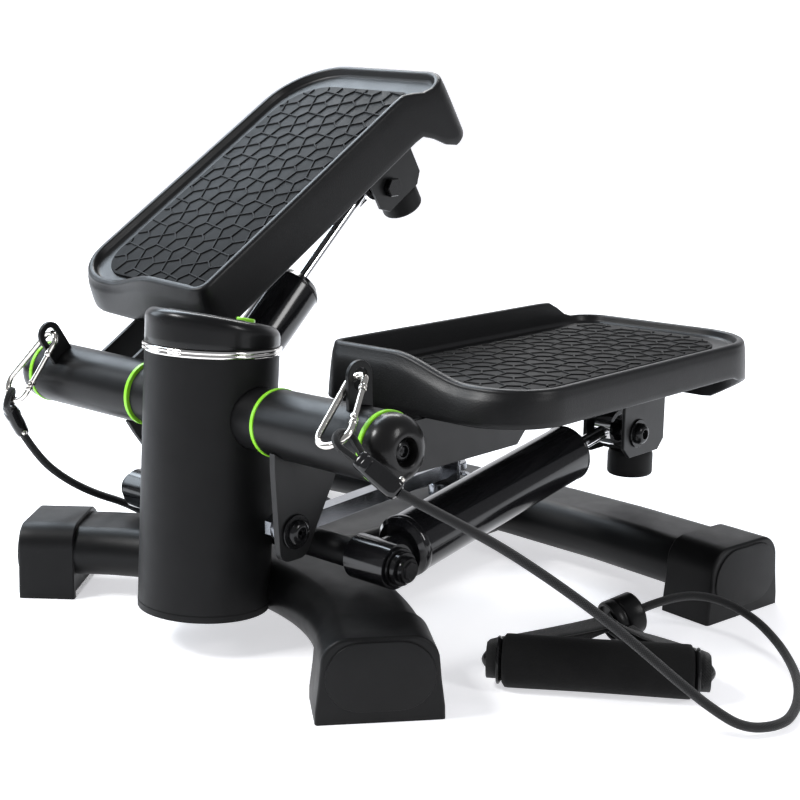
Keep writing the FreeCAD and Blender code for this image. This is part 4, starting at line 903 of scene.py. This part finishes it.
def build_caps():
    """Domed end caps with a sunk socket screw."""
    radius, cap_start, screw_depth, hole = 21.6, 171.9, 8.6, 8.5
    profile = [(10.2, 0.0), (radius - 0.6, 0.0), (radius, 0.6), (radius - 0.1, 3.4)]
    for angle in (math.radians(a) for a in range(8, 80, 8)):
        profile.append((8.8 + 12.7 * math.cos(angle), 3.4 + 13.2 * math.sin(angle)))
    profile += [(9.8, 16.8), (8.9, 16.4), (hole, 15.6), (hole, 8.0)]
    cap = turned(profile, 96, True)
    screw = joined(socket_screw(7.0, 5.0, 2.9), washer(2.0, 8.2, -0.6, 0.2))
    start = SLEEVE_LINE @ lift(cap_start)
    for side in SIDES:
        build(side + "_end_cap", *cap, "cap_plastic", FLIP[side] @ start, "base", ["axle_caps"], sharp=45)
        build(side + "_cap_screw", *screw, "black_bolt", FLIP[side] @ start @ lift(screw_depth),
              "base", sharp=40)


def build_bolts():
    """The crank bolt with its wide washer and nut, and the cylinder's upper bolt."""
    outside = joined(washer(4, 11.5, 2.6, 4.4), placed(socket_screw(8.2, 5.2, 3.2), lift(4.4)))
    upper = joined(washer(5, 11, 38.0, 39.6), placed(socket_screw(8.0, 5.6, 3.0), lift(39.6)),
                   shank(5, -1, 39), hexagon_nut(8.4, -6, -0.1))
    black = joined(placed(outside, sideways(CRANK_BOLT)), placed(upper, sideways(UPPER_BOLT)))
    silver = joined(shank(5, -20.6, 2.4), hexagon_nut(8.6, -19.0, -12.6), washer(4, 9.5, -3.9, -2.6))
    silver = placed(silver, sideways(CRANK_BOLT))
    for side in SIDES:
        build(side + "_black_bolts", *black, "black_bolt", PEDAL[side], side + "_pedal",
              [side + "_pedal_bolts"], sharp=40)
        build(side + "_crank_nut", *silver, "zinc", PEDAL[side], side + "_pedal", sharp=40)


def build_hubs():
    """Washer, shoulder nut and hub bolt at each end of the lower axle, and the rocker's bolt."""
    shoulder = turned([(8.6, 6.4), (8.8, 6.8), (8.8, 9.4), (8.0, 10.4)], 48, False)
    stack = joined(washer(8, 13.0, 0.0, 2.0), washer(8, 11.2, 2.2, 6.4), shoulder,
                   placed(hexagon_nut(6.6, 0, 3.4), lift(8.6)))
    for side in SIDES:
        build(side + "_hub_stack", *placed(stack, sideways(AXLE_END)), "black_bolt", FLIP[side],
              "base", sharp=40)
    post = turned([(14, 50), (14, 59), (13.5, 60), (11, 61.5), (10.2, 63), (10.2, 78.7), (8.2, 78.7),
                   (8.2, 85.3)], 64)
    post = joined(post, washer(7, 10.5, 85.3, 87.0), hexagon_nut(7.5, 87.0, 92.5), shank(4, 92, 94))
    build("rocker_post", *post, "zinc", Matrix.Translation((ROCKER.x, ROCKER.y, 0)), "base",
          ["base_fasteners"], sharp=40)


# ---------------------------------------------------------------- linkage

FORK_SHIFT = {"right": -1.1, "left": -2.0}
LINK_HALF = 5.6


def link_ends(side):
    """The crank's and the rocker's end of a link rod."""
    x, y = polar(ROCKER_ARM, ROCKER_TURN)
    sign = 1 if side == "right" else -1
    return joint_spot(side + "_link_hinge"), ROCKER + Vector((x, -y, 0)) * sign


def build_link(side):
    """A zinc channel, open on top and flattened to an eye at the crank."""
    front, back = link_ends(side)
    sheet, fork_length = 1.5, 19.0
    line = frame_on(front, back - front, Vector((1, 0, 0)))
    end = (back - front).length - fork_length
    rings = []
    for z, w, d in ((15, 2.4, 6.4), (20, 2.6, 6.2), (30, LINK_HALF, LINK_HALF), (end, LINK_HALF, LINK_HALF)):
        inside = w - sheet
        rings.append([(x, y, z) for x, y in (
            (-w, -d), (-w, d), (-inside, d), (-inside, -d + sheet),
            (inside, -d + sheet), (inside, d), (w, d), (w, -d))])
    eye = turned([(5.8, -2), (9.5, -2), (10, -1.5), (10, 1.5), (9.5, 2), (5.8, 2), (5.8, -2)], 48, False)
    eye = placed(eye, frame_on(front, HINGE_LINE[side], UP))
    rod = placed(joined(loft(rings), block((-1.9, -6.6, 7.5), (1.9, 6.6, 20))), line)
    build(side + "_link_rod", *joined(rod, eye), "zinc", None, side + "_link", [side + "_link"],
          sharp=35, bevel=0.45)


def build_fork(side):
    """The link's fork: a plate above and one below the rocker, with a wide hole for its pin."""
    front, back = link_ends(side)
    half, tip, gap, sheet, hole_radius, tail = 14.0, 1.0, 8.5, 2.5, 10.3, -20.0
    level = Vector((back.x - front.x, back.y - front.y, 0)).normalized()
    shift = Vector((level.y, -level.x, 0)) * FORK_SHIFT[side]
    outer = [(tail, -half)] + arc(tip, 0.0, half, -90, 90, 18) + [(tail, half)]
    hole = [(x, y) for x, y, _ in circle(hole_radius, 36)]
    plates = [plate_with_hole(outer, hole, low, low + sheet) for low in (gap, -gap - sheet)]
    web = block((tail, -half, -gap - sheet), (tail + sheet, half, gap + sheet))
    neck = block((tail - 3, -LINK_HALF, -LINK_HALF), (tail + 1, LINK_HALF, LINK_HALF))
    build(side + "_link_fork", *placed(joined(*plates, web, neck), frame_on(back + shift, UP, level)),
          "zinc", None, side + "_link", sharp=35, bevel=0.45)


def plate_with_hole(shape, hole, low, high):
    """A flat plate from low to high with one hole, filled in between its outer and inner edge."""
    edges = bmesh.new()
    for points in (shape, hole):
        corners = [edges.verts.new((x, y, low)) for x, y in points]
        for before, after in zip(corners, corners[1:] + corners[:1]):
            edges.edges.new((before, after))
    bmesh.ops.triangle_fill(edges, edges=edges.edges[:], use_beauty=True)
    bmesh.ops.recalc_face_normals(edges, faces=edges.faces[:])
    thick = bmesh.ops.extrude_face_region(edges, geom=edges.faces[:])
    moved = [item for item in thick["geom"] if isinstance(item, bmesh.types.BMVert)]
    bmesh.ops.translate(edges, verts=moved, vec=(0, 0, high - low))
    bmesh.ops.recalc_face_normals(edges, faces=edges.faces[:])
    edges.verts.ensure_lookup_table()
    edges.verts.index_update()
    made = [tuple(v.co) for v in edges.verts], [tuple(v.index for v in f.verts) for f in edges.faces]
    edges.free()
    return made


def build_cylinder_trim(side):
    """The ribbed lock ring and rolled rim of each cylinder, and the rod's wiper."""
    line = frame_on(joint_spot(side + "_cylinder_hinge"), Vector(JOINTS[side + "_rod_slide"]["axis"]),
                    Vector((1, 0, 0)))
    ring = turned([(21.05, 24.5), (21.5, 25.2), (21.5, 28.8), (21.05, 29.5)], 72, False)
    rolled = turned([(21.0, 205.6), (21.4, 206.2), (21.4, 207.0), (21.0, 207.6)], 72, False)
    wiper = turned([(5.1, 213.1), (9.0, 213.1), (9.0, 214.6), (7.6, 216.0), (5.1, 216.4)], 48, False)
    build(side + "_cylinder_rings", *placed(joined(ring, rolled), line), "cylinder_gloss", None,
          side + "_cylinder", sharp=40)
    build(side + "_rod_wiper", *placed(wiper, line), "bumper_rubber", None, side + "_cylinder", sharp=40)


# ---------------------------------------------------------------- hooks, clamps and handles

WIRE, SMALL, LARGE, HOOK_LENGTH = 2.2, 6.5, 11.3, 62.0
CLAMP_START = {"right": COLUMN_FOOT + Vector((178, -29, 165)),
               "left": COLUMN_FOOT + Vector((-173, -35, 142))}
LOOP_TURN = {"right": 50.0, "left": -50.0}
GRIP_RADIUS, GRIP_LENGTH, CORE_RADIUS = 17.0, 116.0, 12.0
GRIP_MIDDLE = {"right": COLUMN_FOOT + Vector((249, 112, GRIP_RADIUS)),
               "left": COLUMN_FOOT + Vector((-118, 222, GRIP_RADIUS))}
GRIP_LINE = {"right": Vector((0.826, 0.564, 0)).normalized(),
             "left": Vector((0.94, -0.35, 0)).normalized()}
CONNECTOR_RADIUS, CONNECTOR_LENGTH = {"right": 14.5, "left": 12.5}, 26.0


def hook_place(side):
    """Where the hook hangs: its top in the eyelet, -Z down its length, +X on the gate's side."""
    rake_turn, tilt_turn = math.radians(-5), math.radians(-1.9)
    sleeve = Matrix.Translation(PIVOT) @ Matrix.Rotation(rake_turn, 4, "Z")
    sleeve = sleeve @ Matrix.Rotation(tilt_turn, 4, "Y")
    top = sleeve @ Vector((144.8, 1.5, 39.5))
    bottom = COLUMN_FOOT + Vector((163, -38, 170))
    if side == "left":
        top = PEDAL["left"] @ top
        bottom = top + Vector((-23, -20, -42))
    down = (bottom - top).normalized()
    across = (HINGE_LINE[side] - down * HINGE_LINE[side].dot(down)).normalized()
    turn = Matrix((across, down.cross(across), -down)).transposed().to_4x4()
    return Matrix.Translation(top) @ turn


def build_hook(side):
    """The nose's collar, the gate's rivet and the shoulder below it on the hook's wire."""
    low = HOOK_LENGTH - 2 * WIRE - LARGE
    slope = math.asin((LARGE - SMALL) / (low - SMALL))
    across = Vector((math.cos(slope), 0, math.sin(slope)))
    gate_top = Vector((0, 0, -SMALL)) + across * SMALL
    gate_low = Vector((0, 0, -low)) + across * LARGE
    run, level = (gate_low - gate_top).normalized(), Vector((0, 1, 0))
    pivot, nose = gate_top.lerp(gate_low, 0.80), gate_top.lerp(gate_low, 0.22)
    rivet = turned([(0.01, -2.95), (0.9, -2.9), (1.3, -2.5), (1.3, 2.5), (0.9, 2.9), (0.01, 2.95)], 32)
    collar = turned([(2.15, -4.2), (2.65, -3.6), (2.65, -0.9), (2.15, -0.3)], 40, False)
    shoulder = turned([(2.15, 2.6), (2.55, 3.2), (2.55, 5.4), (2.15, 6.0)], 40, False)
    trim = joined(placed(rivet, frame_on(pivot, level)), placed(collar, frame_on(nose, run, level)),
                  placed(shoulder, frame_on(pivot, run, level)))
    build(side + "_hook_trim", *placed(trim, hook_place(side)), "hook_nickel", None, side + "_pedal",
          sharp=40)


def flat_band(points, width_way, width, thick):
    """A flat strap through points, its width along the direction that width_way(share) gives.

    The uv's v is the length along it in mm.
    """
    w, t, corner = width / 2, thick / 2, thick * 0.3
    under = [(-w, -t + corner), (-w + corner, -t), (-w / 2, -t), (0, -t), (w / 2, -t),
             (w - corner, -t), (w, -t + corner)]
    section = under + [(-x, -y) for x, y in under]
    rings, uvs, length = [], [], 0.0
    for index, (point, along) in enumerate(zip(points, tangents(points))):
        way = width_way(index / (len(points) - 1))
        way = (way - along * way.dot(along)).normalized()
        if index:
            length += (point - points[index - 1]).length
        rings.append([point + way * x + along.cross(way) * y for x, y in section])
        uvs += [((x + w) / width, length) for x, _ in section]
    vertices, faces = loft(rings)
    return vertices, faces, uvs


def steps_between(start, stop, steps):
    return [start + (stop - start) * k / steps for k in range(steps)]


def rounded_block(rings_spec, sides=40, power=3.2):
    """A loft of soft-cornered rectangles: (z, half width, half height) from end to end."""
    rings = []
    for z, w, h in rings_spec:
        ring = []
        for k in range(sides):
            angle = 2 * math.pi * k / sides
            c, s = math.cos(angle), math.sin(angle)
            ring.append((w * math.copysign(abs(c) ** (2 / power), c),
                         h * math.copysign(abs(s) ** (2 / power), s), z))
        rings.append(ring)
    return loft(rings)


def loop_frame(side):
    """Where the band's loop crosses the hook's wire, the wire's direction there and the loop's."""
    place, start = hook_place(side), CLAMP_START[side]
    centre = Vector((0, 0, -(HOOK_LENGTH - 2 * WIRE - LARGE)))
    toward = place.inverted() @ start - centre
    outward = Vector((toward.x, 0, toward.z)).normalized()
    crossing = place @ (centre + outward * LARGE)
    tangent = (place.to_3x3() @ Vector((-outward.z, 0, outward.x))).normalized()
    line = (start - crossing).normalized()
    return crossing, tangent, (line - tangent * line.dot(tangent)).normalized()


def build_loop(side):
    """The thick cord loop that goes round the hook's wide end into the clamp."""
    crossing, tangent, line = loop_frame(side)
    start, stop = CLAMP_START[side], ROUTES[side][0]
    radius, width, thick, wire, inset, gap = 6.6, 5.0, 4.4, 1.9, 3, 2.3
    across = Matrix.Rotation(math.radians(LOOP_TURN[side]), 3, line) @ tangent
    spread = across.cross(line)
    middle = crossing + line * (radius - thick / 2 - wire)
    inside = start + (stop - start).normalized() * inset
    turn = [polar(radius, 80 + 200 * k / 32) for k in range(33)]
    bend = [middle + line * x + spread * y for x, y in turn]
    legs = inside + spread * gap, inside - spread * gap
    path = steps_between(legs[0], bend[0], 6) + bend + steps_between(bend[-1], legs[1], 6)[1:] + [legs[1]]
    vertices, faces, uvs = flat_band(path, lambda share: across, width, thick)
    build(side + "_hook_loop", vertices, faces, "webbing", None, side + "_pedal", uvs=uvs, sharp=80,
          levels=1)


def build_clamp(side):
    """The glossy clamp that closes the loop on the cord, with a rib and a metal bead."""
    _, tangent, line = loop_frame(side)
    start, stop = CLAMP_START[side], ROUTES[side][0]
    length, into = (stop - start).length, (stop - start).normalized()
    case = rounded_block([(-0.5, 3.2, 2.6), (-0.2, 4.6, 3.8), (1.0, 5.4, 4.6), (3, 5.7, 5.0),
                          (length * 0.55, 6.3, 5.4), (length - 4, 6.3, 5.0), (length - 1.2, 5.6, 4.6),
                          (length - 0.2, 4.4, 3.8), (length, 3.0, 2.6)])
    rib = rounded_block([(4.5, 5.0, 5.55), (4.9, 5.2, 5.75), (8.6, 5.3, 5.85), (9.0, 5.1, 5.6)])
    bead = turned([(0.01, -1.9), (1.0, -1.7), (1.75, -0.9), (1.95, 0), (1.75, 0.9), (1.0, 1.7),
                   (0.01, 1.9)], 32)
    bead = placed(bead, Matrix.Translation((6.6, 0, length - 4)))
    body = frame_on(start, into, -tangent.cross(line).cross(into))
    build(side + "_cord_clamp", *placed(joined(case, rib), body), "clamp_plastic", None,
          side + "_pedal", [side + "_band_clamp"], sharp=45)
    build(side + "_clamp_bead", *placed(bead, body), "hook_nickel", None, side + "_pedal", sharp=45)


def cord_end(side):
    """The cord's last point and the direction in which it goes into the connector."""
    last, before = ROUTES[side][-1], ROUTES[side][-2]
    return last, (last - before).normalized()


def build_connector(side):
    """The barrel that joins the cord to the webbing, with a groove near its wide end."""
    last, into = cord_end(side)
    r, length, throat, groove = CONNECTOR_RADIUS[side], CONNECTOR_LENGTH, 5.8, 0.9
    profile = [(3.1, 0.4), (4.6, 0.1), (5.4, 0.7), (throat, 2.2)]
    for angle in (math.radians(a) for a in range(10, 91, 10)):
        profile.append((throat + (r - throat) * math.sin(angle), 2.2 + 3.4 * (1 - math.cos(angle))))
    profile += [(r, 17.2), (r - 0.3, 17.6), (r - groove, 17.8), (r - groove, 19.0), (r - 0.3, 19.2),
                (r, 19.6), (r, length - 1.8), (r - 0.5, length - 0.5), (r - 1.8, length),
                (r - 2.6, length - 0.4), (r - 3.2, length - 2.4), (2.0, length - 2.6)]
    return build(side + "_connector", *placed(turned(profile, 72), frame_on(last, into, UP)),
                 "connector_plastic", None, "base", [side + "_band_connector"], sharp=40)


def webbing_leg(side, end):
    """One flat leg from the connector's tip round an end of the handle's core and back."""
    last, into = cord_end(side)
    way, tip = GRIP_LINE[side], last + into * (CONNECTOR_LENGTH - 2)
    ring, level, steps, sag = CORE_RADIUS - 0.9, 0.9, 14, 0.6
    hub = GRIP_MIDDLE[side] + way * end * (GRIP_LENGTH / 2 + 2)
    toward = tip - hub
    toward = (toward - way * toward.dot(way)).normalized()
    upward = (UP - toward * toward.dot(UP)).normalized()
    around = [hub + toward * x + upward * y for x, y in (polar(ring, a) for a in range(-80, -281, -10))]
    start = hub + toward * ring * 0.25
    under, over = [], []
    for share in (k / steps for k in range(1, steps + 1)):
        centre = start + (tip - start) * share + UP * sag * math.sin(math.pi * share)
        apart = level + (1 - share) ** 1.5 * (ring - level)
        over.append(centre + upward * apart)
        under.append(centre - upward * apart)
    path = under[::-1] + around + over
    flat = Vector((-into.y, into.x, 0)).normalized()
    if flat.dot(way) < 0:
        flat.negate()
    total = len(path) - 1

    def facing(share):
        """Along the grip at the core, level across the connector at its tip."""
        nearest = min(share * total, total - share * total)
        return way.lerp(flat, max(0.0, 1 - nearest / steps))

    return flat_band(path, facing, 18.0, 1.4)


def build_webbing(side):
    """Both flat legs between the connector and the handle."""
    legs = [webbing_leg(side, end) for end in (-1, 1)]
    vertices, faces = joined(*[leg[:2] for leg in legs])
    build(side + "_webbing", vertices, faces, "webbing", None, "base", [side + "_handle_webbing"],
          uvs=[uv for leg in legs for uv in leg[2]], sharp=60)


def build_core(side):
    """The plastic core of the handle: a rod, a disc at each end of the grip and a knob beyond."""
    half = GRIP_LENGTH / 2
    end = [(8.0, -1.0), (14.6, 2.4), (15.2, 2.9), (15.2, 4.0), (14.7, 4.5), (9.4, 4.8), (7.4, 5.2),
           (7.5, 7.6), (6.9, 9.6), (5.2, 11.8), (3.0, 13.4), (1.2, 14.2), (0.01, 14.4)]
    end = turned([(radius, half + z) for radius, z in end], 72, False)
    core = [turned([(11.2, -half - 3.6), (11.2, half + 3.6)], 64, False)]
    core += [placed(end, Matrix.Scale(way, 4, UP)) for way in (-1, 1)]
    build(side + "_core", *placed(joined(*core), frame_on(GRIP_MIDDLE[side], GRIP_LINE[side], UP)),
          "core_plastic", None, "base", [side + "_handle_core"], sharp=40)


def build_grip(side):
    """The foam grip: slightly waisted, round at its ends and pressed flat where it lies."""
    half, steps, edge, waist, over = GRIP_LENGTH / 2, 60, 3.0, 0.35, 1.0
    foam = [(CORE_RADIUS - 0.5, -half + 0.6), (GRIP_RADIUS - 4.5, -half - 0.9)]
    for share in (-1 + 2 * k / steps for k in range(steps + 1)):
        z = share * (half + over)
        from_end = half + over - abs(z)
        size = GRIP_RADIUS - waist * (1 - share * share) ** 2
        if from_end < edge:
            size = GRIP_RADIUS - edge + math.sqrt(max(0.0, edge ** 2 - (edge - from_end) ** 2))
        foam.append((size, z))
    foam += [(GRIP_RADIUS - 4.5, half + 0.9), (CORE_RADIUS - 0.5, half - 0.6)]
    spots, faces = placed(turned(foam, 96, False), frame_on(GRIP_MIDDLE[side], GRIP_LINE[side], UP))
    pressed, lowest = 0.9, 0.25
    for spot in spots:
        if spot.z < pressed:
            spot.z = (max(spot.z, lowest) + pressed) / 2
    grip = build(side + "_grip", spots, faces, "grip_foam", None, "base", [side + "_foam_grip"], sharp=50)


# ---------------------------------------------------------------- the scene

for side in SIDES:
    build_pedal(side)
    build_mat(side)
    build_link(side)
    build_fork(side)
    build_cylinder_trim(side)
    build_hook(side)
    build_loop(side)
    build_clamp(side)
build_foot("front_foot", (182.5, -179.8), 39.3)
build_foot("rear_foot", (247.5, 131.6), 8.4)
build_ring()
build_head()
build_display()
build_button()
build_seam()
build_caps()
build_bolts()
build_hubs()

for side in SIDES:
    barrel = build_connector(side)
    build_webbing(side)
    build_core(side)
    build_grip(side)

# every piece of the frame gets the finish that its record names, and the hard ones soft edges
for row in frame["record"]["subparts"]:
    piece = frame["nodes"][row["node"]]
    for slot in piece.material_slots:
        slot.material = MATERIALS[row["material_slot"]]
SOFT_EDGES = {
    "main_beam": 1.2, "front_leg_tube": 1.5, "rear_leg_tube": 1.5, "rocker": 0.8, "axle_collars": 0.8,
    "column_tube": 0.6, "sleeve": 0.7, "flanged_bushings": 0.5, "crank_plate": 0.7, "pedal_arm": 0.7,
    "band_eyelet": 0.9, "bumper": 1.0, "cylinder": 1.2, "rod": 0.6, "lower_axle": 0.8}
for name, width in SOFT_EDGES.items():
    for full in (name, "right_" + name, "left_" + name):
        if full in frame["nodes"]:
            soften(frame["nodes"][full], width)
